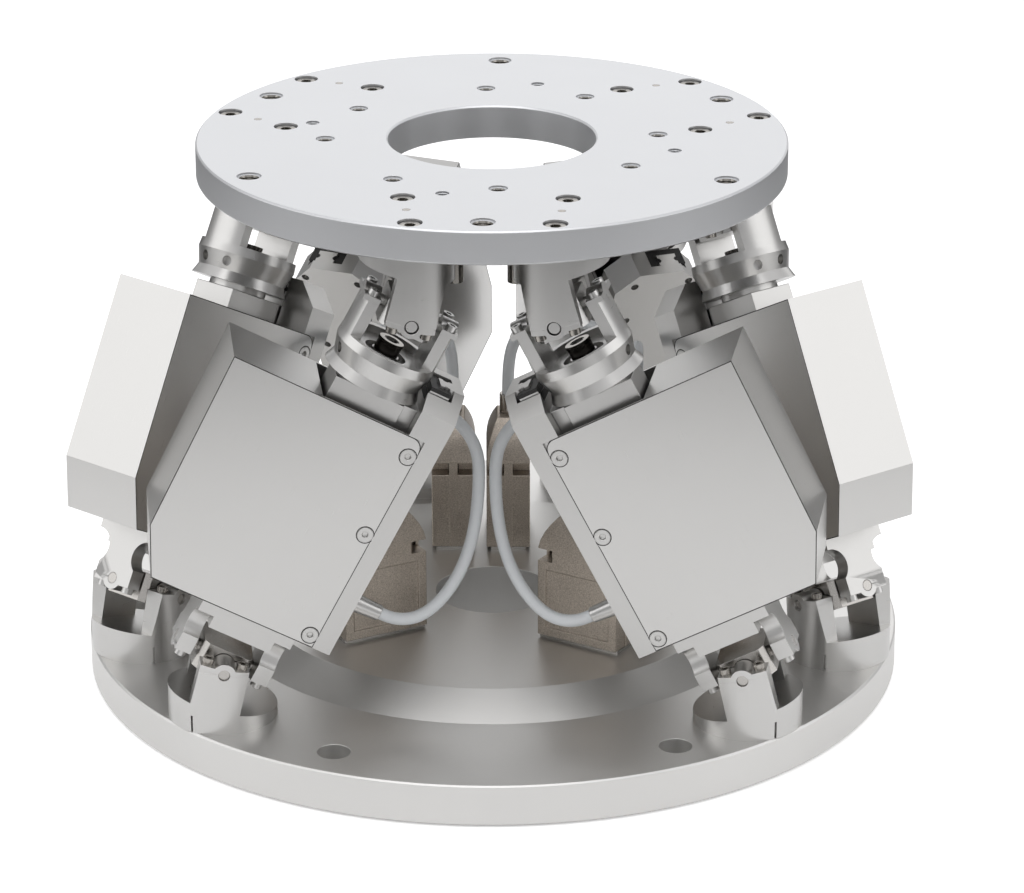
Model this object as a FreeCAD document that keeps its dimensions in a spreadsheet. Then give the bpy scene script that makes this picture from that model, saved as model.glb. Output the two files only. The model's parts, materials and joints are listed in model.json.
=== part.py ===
import FreeCAD, Part
import math
import os
import re

import Sketcher
from FreeCAD import Placement, Rotation, Vector

# Hexapod positioning stage: a round base plate, six telescopic struts on cardan
# joints, and a round platform.  World frame: origin at the middle of the base
# plate's underside, +Z up, the front pair of struts towards -Y.  Millimetres.
#
# Each strut is modelled once in its own frame and placed six times.  Strut frame:
# origin at the lower cardan joint, Z along the strut to the upper joint, Y along
# the first joint axis, X across the strut towards its partner under the platform.
# Cutting tools reach 1 mm past the faces they open.

SIZES = [
    # base plate
    ("base_radius", 141.4, "outer radius of the base plate"),
    ("base_thickness", 14.3, "base plate at its rim"),
    ("base_bore", 20.2, "radius of the hole in the middle of the base"),
    ("disc_height", 7.4, "how far the raised middle stands above the rim"),
    ("disc_radius", 82.7, "top radius of the raised middle"),
    ("band_radius", 95.0, "foot radius of the conical band round it"),
    ("base_screw_circle", 126.7, "radius of the circle of base mounting holes"),
    ("base_screw_hole", 3.3, "radius of a base mounting hole"),
    ("base_screw_sink", 5.5, "radius of its counterbore"),
    ("base_sink_depth", 6.8, "depth of its counterbore"),
    ("base_set_one", 60.0, "bearing of the first hole of one set, degrees"),
    ("base_set_two", 7.5, "bearing of the first hole of the other set, degrees"),
    # top plate
    ("plate_radius", 100.0, "outer radius of the platform plate"),
    ("plate_thickness", 11.5, "platform plate"),
    ("plate_top", 188.5, "height of the platform's upper face"),
    ("plate_bore", 35.2, "radius of the clear aperture"),
    ("plate_edge", 0.6, "small chamfer on the platform's rims"),
    ("large_thread_circle", 90.4, "radius of the circle of six large threads"),
    ("large_thread_hole", 3.4, "core radius of a large thread"),
    ("large_thread_sink", 4.1, "mouth radius of a large thread"),
    ("large_thread_set", 30.0, "bearing of the first large thread"),
    ("small_thread_circle", 56.2, "radius of the circle of the smaller threads"),
    ("small_thread_hole", 2.5, "core radius of a smaller thread"),
    ("small_thread_sink", 3.2, "mouth radius of a smaller thread"),
    ("thread_sink_depth", 0.8, "depth of the mouths"),
    ("small_set_one", 3.9, "bearing of the first set of smaller threads"),
    ("small_set_two", 56.6, "bearing of the second set of smaller threads"),
    ("dowel_circle", 63.2, "radius of the circle of dowel holes"),
    ("dowel_hole", 2.0, "radius of a dowel hole"),
    ("dowel_sink", 2.3, "mouth radius of a dowel hole"),
    ("dowel_set", 77.1, "bearing of the first dowel hole"),
    ("stop_pin_radius", 3.0, "radius of the stop pins under the platform"),
    ("stop_pin_drop", 17.0, "how far they hang down"),
    ("stop_pin_offset", 10.1, "sideways offset of a stop pin"),
    ("stop_pin_circle", 66.0, "distance of the stop pins from the middle"),
    # joint centres
    ("foot_circle", 123.7, "radius of the circle of lower joints"),
    ("foot_spread", 45.0, "bearing of a foot from its pair's bearing"),
    ("foot_rise", 21.5, "lower joint above the base plate's rim"),
    ("head_circle", 82.5, "radius of the circle of upper joints"),
    ("head_spread", 17.6, "bearing of a head from its pair's bearing"),
    ("head_drop", 23.2, "upper joint below the platform's underside"),
    # joint forks on both plates
    ("foot_radius", 18.2, "radius of a fork on the base"),
    ("head_radius", 15.6, "radius of a fork under the platform"),
    ("fork_lean", 14.0, "lean of the ears, half the strut's lean"),
    ("ear_width", 16.5, "width of a fork ear"),
    ("foot_shelf", 13.5, "ear length of a base fork, joint to shelf"),
    ("head_shelf", 15.0, "ear length of a platform fork"),
    ("fork_gap", 19.0, "free width between two ears"),
    ("cap_thickness", 1.8, "bearing cap at its screws"),
    ("cap_boss", 3.9, "radius of the cap's boss over the pin"),
    ("cap_screw_offset", 5.7, "cap screw from the pin"),
    ("cap_screw_head", 1.9, "radius of a cap screw's head"),
    ("cap_screw_head_height", 2.0, "height of that head"),
    ("cap_screw_shank", 1.0, "radius of a cap screw's shank"),
    ("cap_screw_reach", 6.0, "thread length of a cap screw"),
    ("thread_play", 0.05, "play between a screw and its hole"),
    ("key_share", 0.55, "corner radius of a screw's key hole, as a share of its head"),
    ("fork_screw_offset", 12.9, "fork screw from the fork's middle"),
    ("fork_screw_radius", 2.0, "radius of a fork screw"),
    ("fork_screw_play", 0.2, "clearance round a fork screw in its plate"),
    ("fork_screw_head", 3.5, "radius of its head"),
    ("fork_screw_head_height", 4.0, "height of its head"),
    ("fork_screw_grip", 7.0, "thread length of a fork screw in the fork"),
    ("fork_sink_radius", 4.1, "radius of its counterbore"),
    ("fork_sink_depth", 4.8, "depth of its counterbore"),
    ("fork_dowel", 1.3, "radius of the dowel between two fork screws"),
    ("fork_dowel_reach", 5.0, "dowel length in the fork"),
    ("slit_width", 0.8, "width of a slit at a fork's foot"),
    ("slit_height", 6.0, "height of a slit"),
    ("slit_depth", 2.0, "depth of a slit"),
    ("foot_slit_turn", 127.0, "slit of a base fork from its strut's side, degrees"),
    ("head_slit_turn", 162.0, "slit of a platform fork from its strut's side, degrees"),
    # cross pieces
    ("cross_width", 18.0, "cross block along both axes"),
    ("cross_height", 10.0, "cross block along the strut"),
    ("cross_chamfer", 2.0, "chamfer on the block's four upright edges"),
    ("pin_radius", 1.9, "radius of the four trunnions"),
    ("pin_play", 0.05, "radial play of the running joint on the base"),
    ("open_play", 0.45, "radial clearance of the joint opened at the platform"),
    ("seat_play", 0.05, "radial play of the trunnions in their strut ears"),
    ("foot_pin_inset", 0.8, "trunnion end behind the face of a base fork"),
    ("head_pin_inset", 0.7, "trunnion end behind the face of a platform fork"),
    # bracket under the strut
    ("bracket_half", 16.9, "half width of the bracket and the yoke ears"),
    ("bracket_gap", 11.1, "inner face of the ears from the middle"),
    ("bracket_ear_depth", 8.0, "half depth of the strut ears"),
    ("bracket_bar_low", 11.2, "underside of the bracket's bar above the joint"),
    ("scallop_radius", 6.0, "radius of the scallops beside the bracket's ears"),
    ("scallop_side", 11.6, "scallop from the ear's middle"),
    ("scallop_rise", 9.3, "scallop above the joint"),
    # strut housing
    ("housing_low", 19.0, "underside of the housing above the joint"),
    ("housing_high", 99.5, "top of the housing above the joint"),
    ("housing_front", 12.0, "front face from the joint plane"),
    ("housing_back", 20.5, "rear face from the joint plane"),
    ("housing_side", 46.0, "outer side at its top"),
    ("housing_side_low", 44.5, "outer side where the corner is cut off"),
    ("corner_rise", 35.5, "height of the cut corner above the joint"),
    ("corner_side", 36.0, "inner end of the cut corner"),
    ("sheet", 1.0, "thickness of the cover sheets"),
    ("panel_side", 23.2, "edge of the panels on the column"),
    ("panel_round", 4.0, "rounding of the panels' inner upper corner"),
    ("mouth_side", 14.0, "outer edge of the opening for the rod"),
    ("floor_thickness", 5.0, "floor of the strut frame"),
    ("column_inner", 17.3, "inner face of the guide column"),
    ("column_outer", 29.5, "outer face of the guide column"),
    ("column_high", 117.0, "top of the column above the joint"),
    ("column_slope_drop", 8.0, "height of the sloped face at the column's top"),
    ("column_slope_depth", 8.0, "depth of that sloped face"),
    ("channel_half", 7.0, "half width of the channel for the guide"),
    ("channel_floor", 25.8, "floor of the channel from the middle"),
    ("column_hole", 1.4, "radius of the tapped holes in the column's side"),
    ("column_hole_pitch", 17.5, "pitch of those holes"),
    ("column_hole_depth", 2.5, "depth of those holes"),
    ("cover_screw_side", 20.5, "cover screws from the middle"),
    ("cover_screw_head", 2.7, "radius of a countersunk cover screw"),
    ("cover_screw_core", 1.25, "core radius of a cover screw"),
    ("cover_screw_key", 1.0, "radius of its key hole"),
    ("cover_screw_length", 5.0, "length of a cover screw"),
    ("cover_screw_low", 22.8, "lowest cover screw above the joint"),
    ("cover_screw_mid", 62.4, "middle cover screw"),
    ("cover_screw_high", 92.7, "upper cover screw"),
    # linear guide
    ("rail_half", 3.5, "half width of the guide rail"),
    ("rail_height", 5.0, "height of the guide rail"),
    ("rail_groove", 1.05, "radius of the two grooves along the rail"),
    ("guide_play", 0.05, "clearance between carriage and rail"),
    ("carriage_inner", 17.8, "inner face of the carriage from the middle"),
    ("carriage_half", 6.4, "half width of the carriage"),
    ("carriage_length", 50.0, "length of the carriage with its seals"),
    ("carriage_skip", 1.0, "gap between carriage and channel floor"),
    ("carriage_drop", 17.8, "top of the carriage below the upper joint"),
    # drive
    ("drive_plate_low", 34.0, "underside of the drive plate"),
    ("drive_plate_thickness", 4.0, "drive plate"),
    ("drive_plate_half", 9.0, "half depth of the drive plate"),
    ("bearing_high", 48.0, "top of the spindle bearing"),
    ("bearing_radius", 8.5, "outer radius of the spindle bearing"),
    ("spindle_radius", 4.0, "radius of the spindle"),
    ("spindle_high", 88.0, "top of the spindle"),
    ("spindle_play", 0.1, "clearance round turning shafts"),
    ("motor_side", 30.0, "motor axis from the spindle"),
    ("motor_radius", 10.0, "radius of the motor"),
    ("motor_length", 44.0, "length of the motor"),
    ("motor_shaft", 2.0, "radius of the motor shaft"),
    ("pulley_radius", 7.0, "radius of both belt pulleys"),
    ("pulley_low", 25.0, "underside of the pulleys"),
    ("pulley_height", 7.5, "height of the pulleys"),
    ("belt_thickness", 1.2, "thickness of the belt"),
    ("belt_width", 5.0, "width of the belt"),
    # rod and yoke, as drops below the upper joint
    ("block_half", 12.4, "half width of the rod block"),
    ("block_front", 8.0, "front face of the rod block"),
    ("block_back", 9.0, "rear face of the rod block"),
    ("block_drop", 27.3, "top of the rod block"),
    ("block_length", 46.0, "length of the rod block"),
    ("block_bore", 7.0, "radius of the bore for nut and spindle"),
    ("block_roof", 6.0, "solid top of the rod block"),
    ("nut_length", 12.0, "length of the spindle nut"),
    ("neck_radius", 10.0, "radius of the neck under the yoke"),
    ("flare_radius", 16.8, "radius of the yoke's lower edge"),
    ("flare_drop", 25.3, "lower edge of the yoke"),
    ("waist_radius", 15.4, "radius of the yoke's waist"),
    ("waist_drop", 21.8, "waist of the yoke"),
    ("ridge_radius", 17.2, "radius of the yoke's ridge"),
    ("ridge_drop", 16.0, "ridge of the yoke"),
    ("rim_drop", 12.8, "rim of the yoke's cup"),
    ("cup_radius", 14.4, "inner radius of the cup"),
    ("cup_drop", 15.4, "floor of the cup"),
    ("waist_hole", 1.7, "radius of the radial holes in the waist"),
    ("waist_hole_depth", 4.0, "depth of those holes"),
    ("waist_hole_spread", 18.0, "bearing of a radial hole from the ear's middle, degrees"),
    ("centre_bolt_head", 4.2, "radius of the bolt in the cup"),
    ("centre_bolt_height", 4.4, "height of its head"),
    ("centre_bolt_shank", 2.5, "radius of its shank"),
    ("centre_bolt_reach", 17.0, "length of its shank below the cup's floor"),
    ("groove_inner", 4.8, "inner radius of the groove round the bolt"),
    ("groove_outer", 7.3, "outer radius of that groove"),
    ("groove_depth", 2.0, "depth of that groove"),
    # cable outlet and cable
    ("gland_radius", 3.4, "radius of the cable outlet at the strut"),
    ("gland_mouth", 2.7, "radius of the cable outlet at its mouth"),
    ("gland_length", 12.5, "length of the cable outlet"),
    ("gland_rise", 34.0, "cable outlet above the lower joint"),
    ("gland_back", 4.0, "cable outlet behind the joint plane"),
    ("cable_radius", 2.1, "radius of a cable"),
    # connectors on the base
    ("hood_width", 31.0, "width of a connector hood"),
    ("hood_thickness", 15.6, "thickness of a connector hood"),
    ("hood_body", 27.6, "underside of the windows over the jackscrews"),
    ("hood_shoulder", 32.0, "height of the hood's shoulders"),
    ("hood_height", 46.4, "height of its dome"),
    ("hood_window", 5.6, "inner end of a window from the hood's narrow side"),
    ("hood_rib", 1.0, "thickness of the rib that closes a window"),
    ("hood_seam", 3.0, "width of that rib"),
    ("hood_middle_width", 25.0, "width half way up the dome"),
    ("hood_middle_thickness", 13.4, "thickness half way up the dome"),
    ("hood_top_width", 12.0, "width of the dome's top"),
    ("hood_top_thickness", 8.0, "thickness of the dome's top"),
    ("hood_stand", 1.2, "underside of a hood above the raised disc"),
    ("jackscrew_side", 12.5, "jackscrew from the hood's middle"),
    ("jackscrew_radius", 1.9, "radius of a jackscrew's head"),
    ("jackscrew_height", 3.8, "height of that head"),
    ("jackscrew_shank", 1.5, "radius of its shank"),
    ("ferrule_radius", 3.0, "radius of the cable ferrule on a hood"),
    ("ferrule_height", 7.0, "height of that ferrule"),
    ("socket_width", 17.0, "width of the socket's shell"),
    ("socket_thickness", 8.6, "thickness of the socket's shell"),
    ("flange_width", 30.8, "width of the socket's flange"),
    ("flange_thickness", 12.5, "depth of the socket's flange"),
    ("flange_sheet", 1.2, "sheet of the socket's flange"),
    ("socket_depth", 9.0, "depth of the socket below the raised disc"),
    ("socket_play", 0.3, "clearance round the socket in the disc"),
]

# Where each connector stands: strut, x, y and the bearing of its width.
CONNECTORS = {
    1: (-39.0, -34.5, 210.0),
    2: (33.8, -41.2, 330.0),
    3: (50.0, -4.0, 352.0),
    4: (3.8, 51.0, 92.0),
    5: (-15.8, 51.0, 92.0),
    6: (-50.0, -4.0, 188.0),
}

# Each strut: bearing of its upper pair, and which side of the pair it stands on.
FRONT = 270.0
STRUTS = {
    1: (FRONT, -1),
    2: (FRONT, 1),
    3: (30.0, -1),
    4: (30.0, 1),
    5: (150.0, -1),
    6: (150.0, 1),
}

doc = FreeCAD.newDocument("hexapod_stage")
sheet = doc.addObject("Spreadsheet::Sheet", "Sizes")
for row, (word, value, meaning) in enumerate(SIZES, start=1):
    sheet.set("A%d" % row, word)
    sheet.set("B%d" % row, str(value))
    sheet.set("C%d" % row, meaning)
    sheet.setAlias("B%d" % row, word)
doc.recompute()
WORDS = {word for word, value, meaning in SIZES}


def formula(text):
    """Turn an expression of size names into one that reads the spreadsheet."""

    def full(match):
        """The full name of one word if it is a size."""
        word = match.group(0)
        return "Sizes." + word if word in WORDS else word

    return re.sub(r"[a-z_]+", full, str(text))


def size(word):
    """The present value of one size."""
    return float(sheet.get(word))


def bind(item, **properties):
    """Bind properties of an object to expressions of sizes."""
    for name, text in properties.items():
        item.setExpression(name.replace("__", "."), formula(text))
    return item


def new(kind, name, **properties):
    """Add an object and bind its properties."""
    return bind(doc.addObject(kind, name), **properties)


def block(name, x, y, z):
    """A box between low and high limits along each axis."""
    return new(
        "Part::Box",
        name,
        Length="(%s) - (%s)" % (x[1], x[0]),
        Width="(%s) - (%s)" % (y[1], y[0]),
        Height="(%s) - (%s)" % (z[1], z[0]),
        Placement__Base__x=x[0],
        Placement__Base__y=y[0],
        Placement__Base__z=z[0],
    )


TURNS = {"x": Rotation(Vector(0, 1, 0), 90), "y": Rotation(Vector(1, 0, 0), -90), "z": Rotation()}


def pillar(name, radius, along, low, high, at=("0", "0")):
    """A cylinder along one axis; at gives its place on the two other axes."""
    item = doc.addObject("Part::Cylinder", name)
    item.Placement = Placement(Vector(), TURNS[along])
    bind(item, Radius=radius, Height="(%s) - (%s)" % (high, low))
    others = iter(at)
    for axis in "xyz":
        item.setExpression("Placement.Base." + axis, formula(low if axis == along else next(others)))
    return item


def cone(name, low_radius, high_radius, along, low, high, at=("0", "0")):
    """A truncated cone along one axis."""
    item = doc.addObject("Part::Cone", name)
    item.Placement = Placement(Vector(), TURNS[along])
    bind(item, Radius1=low_radius, Radius2=high_radius, Height="(%s) - (%s)" % (high, low))
    others = iter(at)
    for axis in "xyz":
        item.setExpression("Placement.Base." + axis, formula(low if axis == along else next(others)))
    return item


def draw(sketch, points):
    """Draw a closed outline whose corners are bound to expressions."""
    values = []
    for pair in points:
        spots = []
        for text in pair:
            sheet.set("D1", "=" + re.sub(r"Sizes\.", "", formula(text)))
            sheet.recompute()
            spots.append(float(sheet.get("D1")))
        values.append(spots)
    sheet.clear("D1")
    count = len(points)
    for index in range(count):
        start = Vector(*values[index], 0)
        end = Vector(*values[(index + 1) % count], 0)
        sketch.addGeometry(Part.LineSegment(start, end), False)
    for index in range(count):
        sketch.addConstraint(Sketcher.Constraint("Coincident", index, 2, (index + 1) % count, 1))
    for index, pair in enumerate(points):
        for kind, text, value in zip(("DistanceX", "DistanceY"), pair, values[index]):
            number = sketch.addConstraint(Sketcher.Constraint(kind, -1, 1, index, 1, value))
            sketch.setExpression("Constraints[%d]" % number, formula(text))


def prism(name, points, low, high, plane="xz"):
    """An outline extruded between two limits across its plane."""
    sketch = doc.addObject("Sketcher::SketchObject", name + "_outline")
    draw(sketch, points)
    if plane == "xz":
        sketch.Placement = Placement(Vector(), Rotation(Vector(1, 0, 0), 90))
        sketch.setExpression("Placement.Base.y", formula(high))
    elif plane == "yz":
        sketch.Placement = Placement(Vector(), Rotation(Vector(1, 1, 1), 120))
        sketch.setExpression("Placement.Base.x", formula(low))
    else:
        sketch.setExpression("Placement.Base.z", formula(low))
    item = new("Part::Extrusion", name, LengthFwd="(%s) - (%s)" % (high, low))
    item.Base = sketch
    item.DirMode = "Normal"
    item.Solid = True
    return item


def lathe(name, points):
    """An outline of radius and height turned round the Z axis."""
    sketch = doc.addObject("Sketcher::SketchObject", name + "_outline")
    draw(sketch, points)
    sketch.Placement = Placement(Vector(), Rotation(Vector(1, 0, 0), 90))
    item = doc.addObject("Part::Revolution", name)
    item.Source = sketch
    item.Axis = (0, 0, 1)
    item.Angle = 360
    item.Solid = True
    return item


def fuse(name, *parts):
    """Join solids that are one piece."""
    item = doc.addObject("Part::MultiFuse", name)
    item.Shapes = list(parts)
    item.Refine = True
    return item


def cut(name, base, *tools):
    """Take tools away from a solid."""
    item = doc.addObject("Part::Cut", name)
    item.Base = base
    item.Tool = tools[0] if len(tools) == 1 else group(name + "_tools", *tools)
    item.Refine = True
    return item


def common(name, *parts):
    """What several solids share."""
    item = doc.addObject("Part::MultiCommon", name)
    item.Shapes = list(parts)
    item.Refine = True
    return item


def group(name, *parts):
    """Separate solids kept together."""
    item = doc.addObject("Part::Compound", name)
    item.Links = list(parts)
    return item


def turned(name, source, axis, text):
    """A copy of a solid turned about an axis through the origin."""
    item = group(name, source)
    item.Placement = Placement(Vector(), Rotation(axis, 1))
    item.setExpression("Placement.Rotation.Angle", formula(text))
    return item


def mirrored(name, source, normal):
    """A mirror image of a solid across a plane through the origin."""
    item = doc.addObject("Part::Mirroring", name)
    item.Source = source
    item.Normal = normal
    return item


def both_sides(name, source, normal):
    """A solid and its mirror image, as two solids."""
    return group(name, source, mirrored(name + "_twin", source, normal))


def socket_screw(name, x, y, seat, head, tall, shank, reach, up=1):
    """A socket head screw on a seat; up is 1 where its head points to +Z."""
    if up > 0:
        top = pillar(name + "_head", head, "z", seat, "(%s) + %s" % (seat, tall), (x, y))
        stem = pillar(name + "_stem", shank, "z", "(%s) - %s" % (seat, reach), seat, (x, y))
        hex_low, hex_high = "(%s) + %s / 2" % (seat, tall), "(%s) + %s" % (seat, tall)
    else:
        top = pillar(name + "_head", head, "z", "(%s) - %s" % (seat, tall), seat, (x, y))
        stem = pillar(name + "_stem", shank, "z", seat, "(%s) + %s" % (seat, reach), (x, y))
        hex_low, hex_high = "(%s) - %s" % (seat, tall), "(%s) - %s / 2" % (seat, tall)
    key = new("Part::Prism", name + "_key", Circumradius="%s * key_share" % head)
    bind(key, Height="(%s) - (%s)" % (hex_high, hex_low))
    bind(key, Placement__Base__x=x, Placement__Base__y=y, Placement__Base__z=hex_low)
    key.Polygon = 6
    return cut(name, fuse(name + "_blank", top, stem), key)


# Joint forks.  Both kinds are drawn standing on a plate below the joint, with the
# first joint axis along Y.  The ears lean by fork_lean towards +X.
def plate_fork(prefix, radius, shelf, stand, bore, slit_turn):
    """A round fork with two leaning ears, its threaded holes and its slits."""
    half = "ear_width / 2"
    wide = "%s * 2" % radius
    outline = [
        ("-(%s)" % wide, "-%s" % shelf),
        ("-(%s)" % half, "-%s" % shelf),
        ("-(%s)" % half, "0"),
        (half, "0"),
        (half, "-%s" % shelf),
        (wide, "-%s" % shelf),
        (wide, "-(%s) * 3" % stand),
        ("-(%s)" % wide, "-(%s) * 3" % stand),
    ]
    profile = prism(prefix + "_profile", outline, "-(%s)" % wide, wide)
    leaning = turned(prefix + "_lean", profile, Vector(0, 1, 0), "fork_lean")
    round_bar = pillar(prefix + "_bar", radius, "z", "-(%s)" % stand, "foot_radius")
    slot = turned(
        prefix + "_slot",
        block(
            prefix + "_gap",
            ("-(%s)" % wide, wide),
            ("-fork_gap / 2", "fork_gap / 2"),
            ("-%s" % shelf, radius),
        ),
        Vector(0, 1, 0),
        "fork_lean",
    )
    tools = [slot, pillar(prefix + "_bore", bore, "y", "-(%s)" % wide, wide)]
    for side in ("-", ""):
        place = side + "fork_screw_offset"
        tools.append(
            pillar(
                prefix + "_thread",
                "fork_screw_radius + thread_play",
                "z",
                "-(%s)" % stand,
                "fork_screw_grip + 1 - (%s)" % stand,
                ("0", place),
            )
        )
    tools.append(
        pillar(
            prefix + "_dowel_hole",
            "fork_dowel + thread_play",
            "z",
            "-(%s)" % stand,
            "fork_dowel_reach + 0.5 - (%s)" % stand,
        )
    )
    for turn in (slit_turn, "360 - " + slit_turn):
        slit = block(
            prefix + "_slit",
            ("%s - slit_depth" % radius, "%s + 1" % radius),
            ("-slit_width / 2", "slit_width / 2"),
            ("-(%s) - 1" % stand, "slit_height - (%s)" % stand),
        )
        tools.append(turned(prefix + "_slit_turned", slit, Vector(0, 0, 1), turn))
    holes = group(prefix + "_cap_holes", *cap_screw_holes(prefix, radius))
    tools.append(turned(prefix + "_cap_threads", holes, Vector(0, 1, 0), "fork_lean"))
    return cut(prefix, common(prefix + "_blank", leaning, round_bar), *tools)


def cap_middle(side, radius):
    """Where the cap screws stand along Y, in the middle of an ear."""
    return "%s(%s + fork_gap / 2) / 2" % (side, radius)


def cap_screw_hole(prefix, x_side, y_side, radius):
    """The threaded hole of one cap screw in an ear."""
    return pillar(
        prefix + "_cap_hole",
        "cap_screw_shank + thread_play",
        "z",
        "cap_thickness - cap_screw_reach - 0.5",
        "cap_thickness",
        (x_side + "cap_screw_offset", cap_middle(y_side, radius)),
    )


def cap_screw_holes(prefix, radius):
    """The threaded holes of the four cap screws of a plate fork."""
    return [cap_screw_hole(prefix, x_side, y_side, radius) for x_side in ("-", "") for y_side in ("-", "")]


def plate_caps(prefix, radius, bore):
    """The two bearing caps of a plate fork."""
    across = ("-ear_width / 2", "ear_width / 2")
    along = ("-(%s)" % radius, radius)
    slab = block(prefix + "_slab", across, along, ("0", "cap_thickness"))
    boss = common(
        prefix + "_boss",
        pillar(prefix + "_round", "cap_boss", "y", *along),
        block(prefix + "_upper", across, along, ("0", "cap_boss")),
    )
    gap = block(prefix + "_gap", across, ("-fork_gap / 2", "fork_gap / 2"), ("-1", "cap_boss + 1"))
    holes = cap_screw_holes(prefix, radius)
    pin_hole = pillar(prefix + "_bore", bore, "y", *along)
    caps = cut(prefix + "_cut", fuse(prefix + "_blank", slab, boss), gap, pin_hole, *holes)
    leaning = turned(prefix + "_lean", caps, Vector(0, 1, 0), "fork_lean")
    return common(prefix, leaning, pillar(prefix + "_bar", radius, "z", "-foot_radius", "foot_radius"))


def plate_cap_screws(prefix, radius):
    """The four screws of the two bearing caps of a plate fork."""
    screws = []
    for x_side in ("-", ""):
        for y_side in ("-", ""):
            screws.append(
                socket_screw(
                    prefix + "_one",
                    x_side + "cap_screw_offset",
                    cap_middle(y_side, radius),
                    "cap_thickness",
                    "cap_screw_head",
                    "cap_screw_head_height",
                    "cap_screw_shank",
                    "cap_screw_reach",
                )
            )
    return turned(prefix, group(prefix + "_set", *screws), Vector(0, 1, 0), "fork_lean")


def cross(prefix, reach):
    """A cross block with two trunnions along Y and two along X."""
    half = "cross_width / 2"
    inner = "cross_width / 2 - cross_chamfer"
    outline = [
        ("-(%s)" % half, "-(%s)" % inner),
        ("-(%s)" % inner, "-(%s)" % half),
        (inner, "-(%s)" % half),
        (half, "-(%s)" % inner),
        (half, inner),
        (inner, half),
        ("-(%s)" % inner, half),
        ("-(%s)" % half, inner),
    ]
    body = prism(prefix + "_block", outline, "-cross_height / 2", "cross_height / 2", plane="xy")
    pins_y = pillar(prefix + "_pins_y", "pin_radius", "y", "-(%s)" % reach, reach)
    pins_x = pillar(prefix + "_pins_x", "pin_radius", "x", "-bracket_half", "bracket_half")
    return fuse(prefix, body, pins_y, pins_x)


# Ears of the strut: the bracket below and the yoke above hold the trunnions along
# X between an ear and a cap that two screws clamp on.
def ear_caps(prefix):
    """Two bearing caps under the ears of the strut, split at the joint plane."""
    span = ("bracket_gap", "bracket_half")
    depth = ("-bracket_ear_depth", "bracket_ear_depth")
    slab = block(prefix + "_slab", span, depth, ("-cap_thickness", "0"))
    boss = common(
        prefix + "_boss",
        pillar(prefix + "_round", "cap_boss", "x", *span),
        block(prefix + "_lower", span, depth, ("-cap_boss", "0")),
    )
    pin_hole = pillar(prefix + "_bore", "pin_radius + seat_play", "x", "bracket_gap - 1", "bracket_half + 1")
    holes = [ear_screw_hole(prefix, side) for side in ("-", "")]
    one = cut(prefix + "_one", fuse(prefix + "_blank", slab, boss), pin_hole, *holes)
    return both_sides(prefix, one, (1, 0, 0))


def ear_screw_hole(prefix, side):
    """The hole of one screw through a cap and into its ear."""
    return pillar(
        prefix + "_hole",
        "cap_screw_shank + thread_play",
        "z",
        "-cap_thickness",
        "cap_screw_reach + 0.5 - cap_thickness",
        ("(bracket_gap + bracket_half) / 2", side + "cap_screw_offset"),
    )


def ear_screws(prefix):
    """The four screws of the two caps under the ears of the strut."""
    pair = [
        socket_screw(
            prefix + "_one",
            "(bracket_gap + bracket_half) / 2",
            side + "cap_screw_offset",
            "-cap_thickness",
            "cap_screw_head",
            "cap_screw_head_height",
            "cap_screw_shank",
            "cap_screw_reach",
            up=-1,
        )
        for side in ("-", "")
    ]
    return both_sides(prefix, group(prefix + "_pair", *pair), (1, 0, 0))


def ear_tools(prefix):
    """What the ears lose to the trunnions and the cap screws."""
    bore = pillar(prefix + "_bore", "pin_radius + seat_play", "x", "-bracket_half * 2", "bracket_half * 2")
    pair = group(prefix + "_pair", *[ear_screw_hole(prefix, side) for side in ("-", "")])
    return [bore, both_sides(prefix + "_holes", pair, (1, 0, 0))]


def strut_fork():
    """The U bracket under the housing, with its caps and their screws."""
    bar = block(
        "fork_bar",
        ("-bracket_half", "bracket_half"),
        ("-housing_front", "housing_front"),
        ("bracket_bar_low", "housing_low"),
    )
    ear = block(
        "fork_ear",
        ("bracket_gap", "bracket_half"),
        ("-bracket_ear_depth", "bracket_ear_depth"),
        ("0", "bracket_bar_low"),
    )
    scallops = [
        pillar(
            "fork_scallop",
            "scallop_radius",
            "x",
            "bracket_gap",
            "bracket_half + 1",
            (side + "scallop_side", "scallop_rise"),
        )
        for side in ("-", "")
    ]
    blank = fuse("fork_blank", bar, both_sides("fork_ears", ear, (1, 0, 0)))
    lost = both_sides("fork_scallops", group("fork_scallop_pair", *scallops), (1, 0, 0))
    bracket = cut("fork_bracket", blank, lost, *ear_tools("fork"))
    return group("strut_fork", bracket, ear_caps("fork_caps"), ear_screws("fork_cap_screws"))


def housing_outline(inset):
    """The outline of the housing's outer part, offset inwards by inset.

    The cut corner's two ends move by the shares that keep its wall as thick.
    """
    return [
        ("column_inner", "housing_low + (%s)" % inset),
        ("-corner_side + (%s) * 0.4" % inset, "housing_low + (%s)" % inset),
        ("-housing_side_low + (%s)" % inset, "corner_rise + (%s) * 0.5" % inset),
        ("-housing_side + (%s)" % inset, "housing_high - (%s)" % inset),
        ("column_inner", "housing_high - (%s)" % inset),
    ]


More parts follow.
